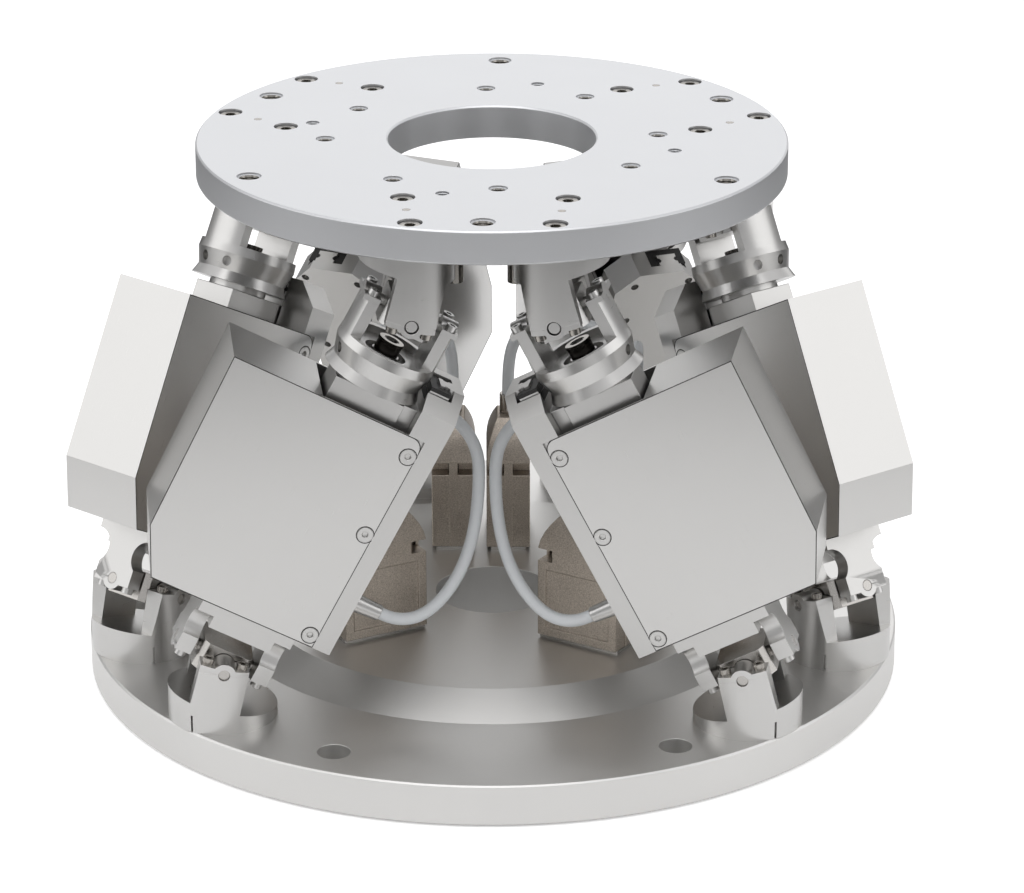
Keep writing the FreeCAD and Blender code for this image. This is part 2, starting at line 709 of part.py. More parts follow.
def strut_frame():
    """The machined column with the guide channel and rail, and the floor."""
    slope_low = "column_high - column_slope_drop"
    column = prism(
        "column",
        [
            ("-housing_front", "housing_low"),
            ("housing_back", "housing_low"),
            ("housing_back", slope_low),
            ("housing_back - column_slope_depth", "column_high"),
            ("column_slope_depth - housing_front", "column_high"),
            ("-housing_front", slope_low),
        ],
        "column_inner",
        "column_outer",
        plane="yz",
    )
    floor = block(
        "floor",
        ("-corner_side", "column_inner"),
        ("sheet - housing_front", "housing_back - sheet"),
        ("housing_low", "housing_low + floor_thickness"),
    )
    channel = block(
        "channel",
        ("column_inner - 1", "channel_floor"),
        ("-channel_half", "channel_half"),
        ("housing_low + floor_thickness", "column_high + 1"),
    )
    rebates = [
        block(
            "rebate_front",
            ("column_inner - 1", "panel_side"),
            ("-housing_front - 1", "sheet - housing_front"),
            ("housing_low - 1", "housing_high"),
        ),
        block(
            "rebate_back",
            ("column_inner - 1", "panel_side"),
            ("housing_back - sheet", "housing_back + 1"),
            ("housing_low - 1", "housing_high"),
        ),
    ]
    side_holes = []
    for step in range(6):
        for place in ("-channel_half", "housing_back - channel_half"):
            side_holes.append(
                pillar(
                    "side_hole",
                    "column_hole",
                    "x",
                    "column_outer - column_hole_depth",
                    "column_outer + 1",
                    (place, "housing_low + 5 + column_hole_pitch * %d" % step),
                )
            )
    threads = [cover_screw_hole(place, face) for place in COVER_SCREWS for face in ("front", "back")]
    blank = fuse("frame_blank", column, floor)
    casting = cut("frame_casting", blank, channel, *rebates, *side_holes, *threads)
    rail = cut(
        "rail",
        block(
            "rail_bar",
            ("channel_floor - rail_height", "channel_floor"),
            ("-rail_half", "rail_half"),
            ("housing_low + floor_thickness", "column_high"),
        ),
        *[
            pillar(
                "rail_groove",
                "rail_groove",
                "z",
                "housing_low",
                "column_high + 1",
                ("channel_floor - rail_height / 2", side + "rail_half"),
            )
            for side in ("-", "")
        ],
    )
    return group("strut_frame", casting, rail)


COVER_SCREWS = ("cover_screw_low", "cover_screw_mid", "cover_screw_high")


def cover_screw_hole(height, face):
    """The tapped hole of one cover screw in the column."""
    if face == "front":
        limits = ("sheet - housing_front", "sheet - housing_front + cover_screw_length")
    else:
        limits = ("housing_back - sheet - cover_screw_length", "housing_back - sheet")
    core = "cover_screw_core + thread_play"
    return pillar("cover_thread", core, "y", *limits, ("cover_screw_side", height))


def countersink(name, height, face, extra):
    """A countersunk head shape at one cover screw."""
    if face == "front":
        return cone(
            name, "cover_screw_head + (%s)" % extra, "cover_screw_core + (%s)" % extra, "y",
            "-housing_front", "sheet - housing_front", ("cover_screw_side", height),
        )
    return cone(
        name, "cover_screw_core + (%s)" % extra, "cover_screw_head + (%s)" % extra, "y",
        "housing_back - sheet", "housing_back", ("cover_screw_side", height),
    )


def strut_cover():
    """Front panel, rear panel and the folded sheet between them."""
    outline = housing_outline("0")
    outline[0] = ("panel_side", "housing_low")
    outline[-1] = ("panel_side", "housing_high")
    panels = []
    for face, low, high in (
        ("front", "-housing_front", "sheet - housing_front"),
        ("back", "housing_back - sheet", "housing_back"),
    ):
        plain = prism("panel_" + face, outline, low, high)
        inner = ("panel_side - panel_round", "housing_high - panel_round")
        corner = block("corner_" + face, (inner[0], "panel_side"), (low, high), (inner[1], "housing_high"))
        disc = pillar("round_" + face, "panel_round", "y", low, high, inner)
        sinks = [countersink("sink", place, face, "thread_play") for place in COVER_SCREWS]
        panels.append(cut("cover_" + face, plain, cut("corner_cut_" + face, corner, disc), *sinks))
    wrap_outer = prism("wrap_outer", housing_outline("0"), "sheet - housing_front", "housing_back - sheet")
    wrap_inner = prism("wrap_inner", housing_outline("sheet"), "-housing_front", "housing_back")
    floor_gap = block(
        "wrap_floor_gap",
        ("-corner_side", "column_inner + 1"),
        ("-housing_front", "housing_back"),
        ("housing_low - 1", "housing_low + floor_thickness"),
    )
    mouth = block(
        "wrap_mouth",
        ("-mouth_side", "column_inner + 1"),
        ("-housing_front", "housing_back"),
        ("housing_high - 5", "housing_high + 1"),
    )
    wrap = cut("cover_wrap", wrap_outer, wrap_inner, floor_gap, mouth)
    return group("strut_cover", *panels, wrap)


def strut_fittings():
    """The cable outlet on the column and the countersunk cover screws."""
    screws = []
    for height in COVER_SCREWS:
        for face in ("front", "back"):
            if face == "front":
                limits = ("sheet - housing_front", "sheet - housing_front + cover_screw_length - 0.5")
                key = ("-housing_front - 1", "sheet - housing_front")
            else:
                limits = ("housing_back - sheet - cover_screw_length + 0.5", "housing_back - sheet")
                key = ("housing_back - sheet", "housing_back + 1")
            stem = pillar("cover_stem", "cover_screw_core", "y", *limits, ("cover_screw_side", height))
            head = countersink("cover_head", height, face, "0")
            socket = pillar("cover_key", "cover_screw_key", "y", *key, ("cover_screw_side", height))
            screws.append(cut("cover_screw", fuse("cover_screw_blank", head, stem), socket))
    ends = ("column_outer", "column_outer + gland_length")
    outlet = cone("gland", "gland_radius", "gland_mouth", "x", *ends, ("gland_back", "gland_rise"))
    return group("strut_fittings", outlet, *screws)


def strut_drive():
    """Motor, belt stage and spindle that push the rod, inside the housing."""
    low = "drive_plate_low"
    high = "drive_plate_low + drive_plate_thickness"
    motor_at = ("-motor_side", "0")
    slab = block(
        "drive_slab",
        ("-motor_side - motor_radius", "column_inner"),
        ("-drive_plate_half", "drive_plate_half"),
        (low, high),
    )
    bearing = pillar("bearing", "bearing_radius", "z", high, "bearing_high")
    under = low + " - 1"
    spindle_hole = pillar("spindle_hole", "spindle_radius + spindle_play", "z", under, "bearing_high + 1")
    shaft_hole = pillar("shaft_hole", "motor_shaft + spindle_play", "z", under, high + " + 1", motor_at)
    plate = cut("drive_plate", fuse("drive_blank", slab, bearing), spindle_hole, shaft_hole)
    pulley_high = "pulley_low + pulley_height"
    spindle = fuse(
        "spindle",
        pillar("spindle_bar", "spindle_radius", "z", "pulley_low", "spindle_high"),
        pillar("spindle_pulley", "pulley_radius", "z", "pulley_low", pulley_high),
    )
    motor = fuse(
        "motor",
        pillar("motor_can", "motor_radius", "z", high, "(%s) + motor_length" % high, motor_at),
        pillar("motor_axle", "motor_shaft", "z", "pulley_low", high, motor_at),
        pillar("motor_pulley", "pulley_radius", "z", "pulley_low", pulley_high, motor_at),
    )
    belt_low = "pulley_low + (pulley_height - belt_width) / 2"
    belt_high = "pulley_low + (pulley_height + belt_width) / 2"

    def loop(name, radius):
        """A race-track solid round both pulleys."""
        span = (belt_low, belt_high)
        return fuse(
            name,
            pillar(name + "_near", radius, "z", *span),
            pillar(name + "_far", radius, "z", *span, motor_at),
            block(name + "_straight", ("-motor_side", "0"), ("-(%s)" % radius, radius), span),
        )

    outer_loop = loop("belt_outer", "pulley_radius + belt_thickness")
    belt = cut("belt", outer_loop, loop("belt_inner", "pulley_radius + thread_play"))
    return group("strut_drive", plate, spindle, motor, belt)


def rod_joint(length):
    """The yoke on top of the rod: cup, ears, caps, screws and centre bolt."""
    profile = [
        ("0", "-block_drop"),
        ("neck_radius", "-block_drop"),
        ("neck_radius", "-flare_drop"),
        ("flare_radius", "-flare_drop"),
        ("waist_radius", "-waist_drop"),
        ("ridge_radius", "-ridge_drop"),
        ("bracket_half", "-rim_drop"),
        ("cup_radius", "-rim_drop"),
        ("cup_radius", "-cup_drop"),
        ("0", "-cup_drop"),
    ]
    cup = lathe("cup", profile)
    ear = common(
        "yoke_ear",
        block(
            "yoke_ear_block",
            ("bracket_gap", "bracket_half"),
            ("-bracket_ear_depth", "bracket_ear_depth"),
            ("-cup_drop", "0"),
        ),
        pillar("yoke_round", "bracket_half", "z", "-cup_drop", "0"),
    )
    waist = []
    depth = ("ridge_radius - waist_hole_depth", "ridge_radius + 1")
    for turn in (
        "waist_hole_spread",
        "180 - waist_hole_spread",
        "180 + waist_hole_spread",
        "360 - waist_hole_spread",
    ):
        hole = pillar("waist_hole", "waist_hole", "x", *depth, ("0", "-(waist_drop + ridge_drop) / 2"))
        waist.append(turned("waist_hole_turned", hole, Vector(0, 0, 1), turn))
    groove = cut(
        "bolt_groove",
        pillar("groove_round", "groove_outer", "z", "-cup_drop - groove_depth", "-cup_drop + 1"),
        pillar("groove_core", "groove_inner", "z", "-cup_drop - groove_depth - 1", "-cup_drop + 2"),
    )
    through = ("-block_drop - 1", "-cup_drop + 1")
    bolt_hole = pillar("bolt_hole", "centre_bolt_shank + thread_play", "z", *through)
    ears = both_sides("yoke_ears", ear, (1, 0, 0))
    # The ears point up here, so what they lose to caps and screws is turned over.
    lost = [turned("yoke_lost", tool, Vector(0, 1, 0), "180") for tool in ear_tools("yoke")]
    yoke = cut("yoke", fuse("yoke_blank", cup, ears), *waist, groove, bolt_hole, *lost)
    caps = turned("yoke_caps_up", ear_caps("yoke_caps"), Vector(0, 1, 0), "180")
    screws = turned("yoke_screws_up", ear_screws("yoke_cap_screws"), Vector(0, 1, 0), "180")
    bolt = socket_screw(
        "centre_bolt", "0", "0", "-cup_drop",
        "centre_bolt_head", "centre_bolt_height", "centre_bolt_shank", "centre_bolt_reach",
    )
    upper = cross("upper_cross", "head_radius - head_pin_inset")
    joint = group("rod_joint", yoke, caps, screws, bolt, upper)
    joint.Placement = Placement(Vector(0, 0, length), Rotation())
    return joint


def rod_block(length):
    """The sliding block with its spindle nut and the guide carriage."""
    solid = block(
        "block_body",
        ("-block_half", "block_half"),
        ("-block_front", "block_back"),
        ("-block_drop - block_length", "-block_drop"),
    )
    foot = "-block_drop - block_length"
    bore_top = "-block_drop - block_roof"
    bore = pillar("block_bore", "block_bore", "z", foot + " - 1", bore_top)
    shank = pillar("block_thread", "centre_bolt_shank + thread_play", "z", bore_top, "-block_drop")
    body = cut("block_cut", solid, bore, shank)
    nut = cut(
        "nut",
        pillar("nut_ring", "block_bore", "z", foot, foot + " + nut_length"),
        pillar("nut_bore", "spindle_radius + spindle_play", "z", foot + " - 1", foot + " + nut_length + 1"),
    )
    carriage = cut(
        "carriage",
        fuse(
            "carriage_blank",
            block(
                "carriage_bar",
                ("carriage_inner", "channel_floor - carriage_skip"),
                ("-carriage_half", "carriage_half"),
                ("-carriage_drop - carriage_length", "-carriage_drop"),
            ),
            block(
                "carriage_pad",
                ("block_half", "carriage_inner"),
                ("-carriage_half", "carriage_half"),
                ("-carriage_drop - carriage_length", "-block_drop"),
            ),
        ),
        block(
            "carriage_slot",
            ("channel_floor - rail_height - guide_play", "channel_floor"),
            ("-rail_half - guide_play", "rail_half + guide_play"),
            ("-carriage_drop - carriage_length - 1", "1 - carriage_drop"),
        ),
    )
    rod = group("rod_block", body, nut, carriage)
    rod.Placement = Placement(Vector(0, 0, length), Rotation())
    return rod


def polar(radius, bearing, height=0.0):
    """A point from its radius, bearing in degrees and height."""
    angle = math.radians(bearing)
    return Vector(radius * math.cos(angle), radius * math.sin(angle), height)


FOOT_HEIGHT = size("base_thickness") + size("foot_rise")
HEAD_HEIGHT = size("plate_top") - size("plate_thickness") - size("head_drop")


def strut_ends(number):
    """Lower and upper joint centre of one strut."""
    pair, side = STRUTS[number]
    low = polar(size("foot_circle"), pair + side * size("foot_spread"), FOOT_HEIGHT)
    high = polar(size("head_circle"), pair + side * size("head_spread"), HEAD_HEIGHT)
    return low, high


def frame_placement(origin, along_x, along_z):
    """A placement from an origin and two of its axes."""
    along_y = along_z.cross(along_x)
    matrix = FreeCAD.Matrix(
        along_x.x, along_y.x, along_z.x, origin.x,
        along_x.y, along_y.y, along_z.y, origin.y,
        along_x.z, along_y.z, along_z.z, origin.z,
        0, 0, 0, 1,
    )
    return Placement(matrix)


def strut_placement(number):
    """The strut frame in the world."""
    low, high = strut_ends(number)
    along = (high - low).normalize()
    flat = Vector(along.x, along.y, 0).normalize()
    across = (flat * along.z - Vector(0, 0, along.dot(flat))).normalize()
    return frame_placement(low, across, along)


def foot_placement(number):
    """The frame of a base fork: X towards the head, Z up."""
    low, high = strut_ends(number)
    flat = Vector(high.x - low.x, high.y - low.y, 0).normalize()
    return frame_placement(low, flat, Vector(0, 0, 1))


def head_placement(number):
    """The frame of a platform fork: X towards the foot, Z down."""
    low, high = strut_ends(number)
    flat = Vector(low.x - high.x, low.y - high.y, 0).normalize()
    return frame_placement(high, flat, Vector(0, 0, -1))


def placed(label, source, placement):
    """One placed copy of a piece, with its own label."""
    item = group(label, source)
    item.Placement = placement
    return item


nodes = {}


def keep(label, item):
    """Record a finished sub-part under the name of its file."""
    item.Label = label
    nodes[label] = item


# Struts: left and right hands, six copies
low_end, high_end = strut_ends(1)
STRUT_LENGTH = (high_end - low_end).Length
masters = {
    "strut_{}_frame": strut_frame(),
    "strut_{}_cover": strut_cover(),
    "strut_{}_fork": strut_fork(),
    "strut_{}_cross": cross("lower_cross", "foot_radius - foot_pin_inset"),
    "strut_{}_drive": strut_drive(),
    "strut_{}_fittings": strut_fittings(),
    "rod_{}_joint": rod_joint(STRUT_LENGTH),
    "rod_{}_block": rod_block(STRUT_LENGTH),
}
for pattern, master in masters.items():
    twin = mirrored(master.Name + "_other_hand", master, (0, 1, 0))
    for number, (pair, side) in STRUTS.items():
        source = master if side < 0 else twin
        label = pattern.format(number)
        keep(label, placed(label, source, strut_placement(number)))


def set_of(label, source, placement_of):
    """One copy of a source per strut, kept as a group of separate solids."""
    copies = [placed("%s_%d" % (label, number), source, placement_of(number)) for number in STRUTS]
    return group(label, *copies)


# Forks on the base and under the platform
running = "pin_radius + pin_play"
opened = "pin_radius + open_play"
foot_fork = plate_fork("foot_fork", "foot_radius", "foot_shelf", "foot_rise", running, "foot_slit_turn")
head_fork = plate_fork("head_fork", "head_radius", "head_shelf", "head_drop", opened, "head_slit_turn")
keep("base_forks", set_of("base_forks", foot_fork, foot_placement))
keep("platform_forks", set_of("platform_forks", head_fork, head_placement))
for label, radius, bore, placement_of in (
    ("base_fork_caps", "foot_radius", running, foot_placement),
    ("platform_fork_caps", "head_radius", opened, head_placement),
):
    keep(label, set_of(label, plate_caps(label + "_master", radius, bore), placement_of))


def fork_screws(prefix, radius, stand, plate):
    """Cap screws, and the screws and dowel that hold one fork on its plate."""
    pieces = [plate_cap_screws(prefix + "_cap", radius)]
    seat = "fork_sink_depth - %s - (%s)" % (plate, stand)
    for side in ("-", ""):
        pieces.append(
            socket_screw(
                prefix + "_screw",
                "0",
                side + "fork_screw_offset",
                seat,
                "fork_screw_head",
                "fork_screw_head_height",
                "fork_screw_radius",
                "fork_screw_grip + %s - fork_sink_depth" % plate,
                up=-1,
            )
        )
    ends = ("-%s - (%s)" % (plate, stand), "fork_dowel_reach - (%s)" % stand)
    pieces.append(pillar(prefix + "_dowel", "fork_dowel", "z", *ends))
    return group(prefix, *pieces)


foot_screws = fork_screws("foot_screws", "foot_radius", "foot_rise", "base_thickness")
head_screws = fork_screws("head_screws", "head_radius", "head_drop", "plate_thickness")
keep("base_screws", set_of("base_screws", foot_screws, foot_placement))

stop_pins = []
for pair in (270.0, 30.0, 150.0):
    for side in ("-", ""):
        pin = pillar(
            "stop_pin",
            "stop_pin_radius",
            "z",
            "plate_top - plate_thickness - stop_pin_drop",
            "plate_top - plate_thickness",
            ("stop_pin_circle", side + "stop_pin_offset"),
        )
        stop_pins.append(turned("stop_pin_turned", pin, Vector(0, 0, 1), "%g" % pair))
head_screw_set = set_of("head_screw_set", head_screws, head_placement)
keep("platform_screws", group("platform_screws", head_screw_set, *stop_pins))


# Plates, as bodies with sketches and features
def plane_of(body, role):
    """One of a body's own origin planes."""
    return next(item for item in body.Origin.OriginFeatures if item.Role == role)


def attached(body, name, role, height="0"):
    """A sketch on one of the body's origin planes, offset by an expression."""
    sketch = body.newObject("Sketcher::SketchObject", name)
    sketch.AttachmentSupport = (plane_of(body, role), [""])
    sketch.MapMode = "FlatFace"
    sketch.setExpression("AttachmentOffset.Base.z", formula(height))
    return sketch


def turned_body(name, points):
    """A body whose first feature is a profile turned about Z."""
    body = doc.addObject("PartDesign::Body", name)
    sketch = attached(body, name + "_profile", "XZ_Plane")
    draw(sketch, points)
    doc.recompute()
    turn = body.newObject("PartDesign::Revolution", name + "_turn")
    turn.Profile = sketch
    turn.ReferenceAxis = (sketch, ["V_Axis"])
    turn.Angle = 360
    doc.recompute()
    return body


def drill(body, name, radius, depth, face, circle, bearing, count):
    """Round pockets down from a face, evenly spaced on a circle."""
    sketch = attached(body, name + "_sketch", "XY_Plane", face)
    angle = math.radians(size(bearing))
    spot = Vector(size(circle) * math.cos(angle), size(circle) * math.sin(angle), 0)
    sketch.addGeometry(Part.Circle(spot, Vector(0, 0, 1), 1.0), False)
    ring = sketch.addConstraint(Sketcher.Constraint("Radius", 0, 1.0))
    sketch.setExpression("Constraints[%d]" % ring, formula(radius))
    for kind, ratio, value in (("DistanceX", "cos", spot.x), ("DistanceY", "sin", spot.y)):
        number = sketch.addConstraint(Sketcher.Constraint(kind, -1, 1, 0, 3, value))
        where = formula("%s * %s(%s * 1deg)" % (circle, ratio, bearing))
        sketch.setExpression("Constraints[%d]" % number, where)
    pocket = body.newObject("PartDesign::Pocket", name + "_pocket")
    pocket.Profile = sketch
    pocket.setExpression("Length", formula(depth))
    doc.recompute()
    pattern = body.newObject("PartDesign::PolarPattern", name + "_pattern")
    pattern.Originals = [pocket]
    pattern.Axis = (sketch, ["N_Axis"])
    pattern.Angle = 360
    pattern.Occurrences = count
    body.Tip = pattern
    doc.recompute()


plate = turned_body(
    "top_plate",
    [
        ("plate_bore", "plate_top - plate_thickness"),
        ("plate_radius - plate_edge", "plate_top - plate_thickness"),
        ("plate_radius", "plate_top - plate_thickness + plate_edge"),
        ("plate_radius", "plate_top - plate_edge"),
        ("plate_radius - plate_edge", "plate_top"),
        ("plate_bore + plate_edge", "plate_top"),
        ("plate_bore", "plate_top - plate_edge"),
    ],
)
for name, radius, sink, circle, bearing, count in (
    ("large", "large_thread_hole", "large_thread_sink", "large_thread_circle", "large_thread_set", 6),
    ("small_one", "small_thread_hole", "small_thread_sink", "small_thread_circle", "small_set_one", 4),
    ("small_two", "small_thread_hole", "small_thread_sink", "small_thread_circle", "small_set_two", 4),
    ("dowel", "dowel_hole", "dowel_sink", "dowel_circle", "dowel_set", 4),
):
    drill(plate, name, radius, "plate_thickness", "plate_top", circle, bearing, count)
    drill(plate, name + "_mouth", sink, "thread_sink_depth", "plate_top", circle, bearing, count)

base = turned_body(
    "base_plate",
    [
        ("base_bore", "0"),
        ("base_radius - plate_edge", "0"),
        ("base_radius", "plate_edge"),
        ("base_radius", "base_thickness - plate_edge"),
        ("base_radius - plate_edge", "base_thickness"),
        ("band_radius", "base_thickness"),
        ("disc_radius", "base_thickness + disc_height"),
        ("base_bore", "base_thickness + disc_height"),
    ],
)
rim_top = "base_thickness"
for name, bearing in (("mount_one", "base_set_one"), ("mount_two", "base_set_two")):
    on_circle = (rim_top, "base_screw_circle", bearing, 3)
    drill(base, name, "base_screw_hole", rim_top, *on_circle)
    drill(base, name + "_sink", "base_screw_sink", "base_sink_depth", *on_circle)


def fork_seats(prefix, stand, plate_name):
    """The through holes, counterbores and dowel hole under one fork."""
    outside = "-%s - (%s) - 1" % (plate_name, stand)
    seat = "fork_sink_depth - %s - (%s)" % (plate_name, stand)
    inside = "-(%s)" % stand
    tools = [pillar(prefix + "_dowel", "fork_dowel + thread_play", "z", outside, inside)]
    for side in ("-", ""):
        at = ("0", side + "fork_screw_offset")
        hole = "fork_screw_radius + fork_screw_play"
        tools.append(pillar(prefix + "_hole", hole, "z", outside, inside, at))
        tools.append(pillar(prefix + "_sink", "fork_sink_radius", "z", outside, seat, at))
    return group(prefix, *tools)


one_head_seat = fork_seats("head_seats", "head_drop", "plate_thickness")
one_foot_seat = fork_seats("foot_seats", "foot_rise", "base_thickness")
head_seats = set_of("head_seat_set", one_head_seat, head_placement)
foot_seats = set_of("foot_seat_set", one_foot_seat, foot_placement)

# Connectors: socket in the base, hood with jackscrews and ferrule, seen in a frame
# with X along the width and Z up from the raised disc
disc_top = "base_thickness + disc_height"


def connector_placement(number):
    """Where one connector stands on the raised disc."""
    x, y, bearing = CONNECTORS[number]
    turn = Rotation(Vector(0, 0, 1), bearing)
    return Placement(Vector(x, y, size("base_thickness") + size("disc_height")), turn)


half_width = "hood_width / 2"
half_depth = "hood_thickness / 2"
shoulder = "hood_stand + hood_shoulder"
dome_middle = "hood_stand + (hood_shoulder + hood_height) / 2"
dome_top = "hood_stand + hood_height"


def dome_outline(foot, middle, top):
    """An outline from half the widths at the hood's foot, half way up its dome and at its top."""
    right = [(foot, "hood_stand"), (foot, shoulder), (middle, dome_middle), (top, dome_top)]
    return right + [("-(%s)" % x, z) for x, z in reversed(right)]


hood_body = common(
    "hood_body",
    prism(
        "hood_face",
        dome_outline(half_width, "hood_middle_width / 2", "hood_top_width / 2"),
        "-hood_thickness / 2",
        half_depth,
    ),
    prism(
        "hood_side",
        dome_outline(half_depth, "hood_middle_thickness / 2", "hood_top_thickness / 2"),
        "-hood_width / 2",
        half_width,
        plane="yz",
    ),
)
window_span = ("hood_stand + hood_body", shoulder)
windows = [
    block(
        "hood_window",
        ("hood_width / 2 - hood_window", "hood_width / 2 - hood_rib"),
        ("-hood_thickness / 2 - 1", "hood_thickness / 2 + 1"),
        window_span,
    )
]
for limits in (("hood_seam / 2", "hood_thickness / 2 + 1"), ("-hood_thickness / 2 - 1", "-hood_seam / 2")):
    beside = ("hood_width / 2 - hood_rib", "hood_width / 2 + 1")
    windows.append(block("hood_window_side", beside, limits, window_span))
jack_hole = pillar(
    "jack_hole",
    "jackscrew_shank + spindle_play",
    "z",
    "hood_stand - 1",
    "hood_stand + hood_body + 1",
    ("jackscrew_side", "0"),
)
hood_end = group("hood_end", *windows, jack_hole)
hood_shell = cut("hood_shell", hood_body, both_sides("hood_lost", hood_end, (1, 0, 0)))
jackscrew = fuse(
    "jackscrew",
    pillar(
        "jack_head",
        "jackscrew_radius",
        "z",
        "hood_stand + hood_body",
        "hood_stand + hood_body + jackscrew_height",
        ("jackscrew_side", "0"),
    ),
    pillar(
        "jack_stem",
        "jackscrew_shank",
        "z",
        "flange_sheet",
        "hood_stand + hood_body",
        ("jackscrew_side", "0"),
    ),
)
ferrule = pillar("ferrule", "ferrule_radius", "z", dome_top, dome_top + " + ferrule_height")
hood = group("hood", hood_shell, both_sides("jackscrews", jackscrew, (1, 0, 0)))
keep("connector_hoods", set_of("connector_hoods", hood, connector_placement))
keep("cable_ferrules", set_of("cable_ferrules", ferrule, connector_placement))
socket = fuse(
    "socket",
    block(
        "socket_flange",
        ("-flange_width / 2", "flange_width / 2"),
        ("-flange_thickness / 2", "flange_thickness / 2"),
        ("0", "flange_sheet"),
    ),
    block(
        "socket_shell",
        ("-socket_width / 2", "socket_width / 2"),
        ("-socket_thickness / 2", "socket_thickness / 2"),
        ("-socket_depth", "flange_sheet"),
    ),
)
keep("connector_sockets", set_of("connector_sockets", socket, connector_placement))
socket_pit = block(
    "socket_pit",
    ("-socket_width / 2 - socket_play", "socket_width / 2 + socket_play"),
    ("-socket_thickness / 2 - socket_play", "socket_thickness / 2 + socket_play"),
    ("-base_thickness - disc_height - 1", "1"),
)
socket_pits = set_of("socket_pit_set", socket_pit, connector_placement)

keep("base_plate", cut("base_plate_drilled", base, foot_seats, socket_pits))
keep("top_plate", cut("top_plate_drilled", plate, head_seats))

# Cables: straight runs joined by tangent arcs, from the outlet on each strut to
# the ferrule on its connector.  The rising points are those of the front left
# strut, and the other struts have them turned or mirrored.  The falling points are
# shares of the way from the last rising point to the ferrule, with their heights.
CABLE_EXIT = 3.4
CABLE_RISE = [
    (-29.3, -74.9, 43.3),
    (-25.9, -74.0, 43.0),
    (-22.6, -72.9, 43.5),
    (-19.2, -71.6, 45.0),
    (-15.3, -70.0, 48.2),
    (-11.3, -67.9, 53.0),
    (-7.5, -65.4, 59.8),
    (-4.8, -62.6, 68.0),
    (-3.3, -60.2, 77.0),
    (-2.7, -58.0, 86.3),
    (-2.9, -55.8, 95.0),
]
CABLE_FALL = [
    (0.09, 102.0),
    (0.26, 107.0),
    (0.48, 108.9),
    (0.70, 107.2),
    (0.87, 102.4),
    (0.965, 95.0),
    (1.0, 85.6),
]


def gland_end(number):
    """The mouth of a strut's cable outlet, and the way the cable leaves it."""
    pair, side = STRUTS[number]
    where = strut_placement(number)
    back = size("gland_back") * (1 if side < 0 else -1)
    mouth = Vector(size("column_outer") + size("gland_length"), back, size("gland_rise"))
    return where.multVec(mouth), where.Rotation.multVec(Vector(1, 0, 0))


def cable_points(number):
    """The hand-chosen points of one cable, in the world."""
    pair, side = STRUTS[number]
    start, way = gland_end(number)
    points = [start, start + way * CABLE_EXIT]
    turn = Rotation(Vector(0, 0, 1), pair - FRONT)
    for x, y, z in CABLE_RISE:
        points.append(turn.multVec(Vector(x if side < 0 else -x, y, z)))
    x, y, bearing = CONNECTORS[number]
    last = points[-1]
    for share, height in CABLE_FALL:
        points.append(Vector(last.x + share * (x - last.x), last.y + share * (y - last.y), height))
    stand = size("base_thickness") + size("disc_height") + size("hood_stand")
    points.append(Vector(x, y, stand + size("hood_height") + size("ferrule_height")))
    return points


def cable(number):
    """A tube along straight runs joined by tangent arcs."""
    points = cable_points(number)
    edges = []
    here = points[0]
    radii = []
    for before, corner, after in zip(points, points[1:], points[2:]):
        inward = (corner - before).normalize()
        outward = (after - corner).normalize()
        half = inward.getAngle(outward) / 2
        run = min((corner - before).Length, (after - corner).Length)
        radius = 0.45 * run / math.tan(half)
        reach = radius * math.tan(half)
        enter = corner - inward * reach
        leave = corner + outward * reach
        pull = (outward - inward).normalize()
        centre = corner + pull * (radius / math.cos(half))
        middle = centre - pull * radius
        edges.append(Part.LineSegment(here, enter).toShape())
        edges.append(Part.Arc(enter, middle, leave).toShape())
        here = leave
        radii.append(radius)
    edges.append(Part.LineSegment(here, points[-1]).toShape())
    path = Part.Wire(edges)
    first = (points[1] - points[0]).normalize()
    section = Part.Wire([Part.Circle(points[0], first, size("cable_radius")).toShape()])
    tube = path.makePipeShell([section], True, False)
    ideal = math.pi * size("cable_radius") ** 2 * path.Length
    print("cable %d length %.1f radii %s volume ratio %.4f" % (
        number, path.Length, " ".join("%.0f" % value for value in radii), tube.Volume / ideal))
    return tube


cables = doc.addObject("Part::Feature", "signal_cables")
cables.Shape = Part.makeCompound([cable(number) for number in STRUTS])
keep("signal_cables", cables)

doc.recompute()
for item in doc.Objects:
    if "Invalid" in item.State or "Error" in item.State:
        raise RuntimeError("%s failed: %s" % (item.Label, item.State))

os.makedirs("parts", exist_ok=True)
for label, item in nodes.items():
    shape = item.Shape
    if shape.isNull() or not shape.isValid() or not shape.Solids:
        raise RuntimeError("bad shape: " + label)
    shape.exportStep(os.path.join("parts", label + ".step"))
print("%d nodes, %d solids" % (len(nodes), sum(len(item.Shape.Solids) for item in nodes.values())))
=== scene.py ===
"""Looks of the hexapod positioning stage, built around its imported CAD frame.

The row frame is in metres: origin in the middle of the base plate's underside, +Z up
and the front pair of struts towards -Y. Pieces of a strut are shaped in the strut's own
frame: origin at the lower cardan joint, Z along the strut, X across it towards its
partner under the platform.
"""

from __future__ import annotations

import json
import logging
import math
from dataclasses import dataclass, field
from enum import Enum
from typing import Any

import bpy
from mathutils import Matrix, Vector

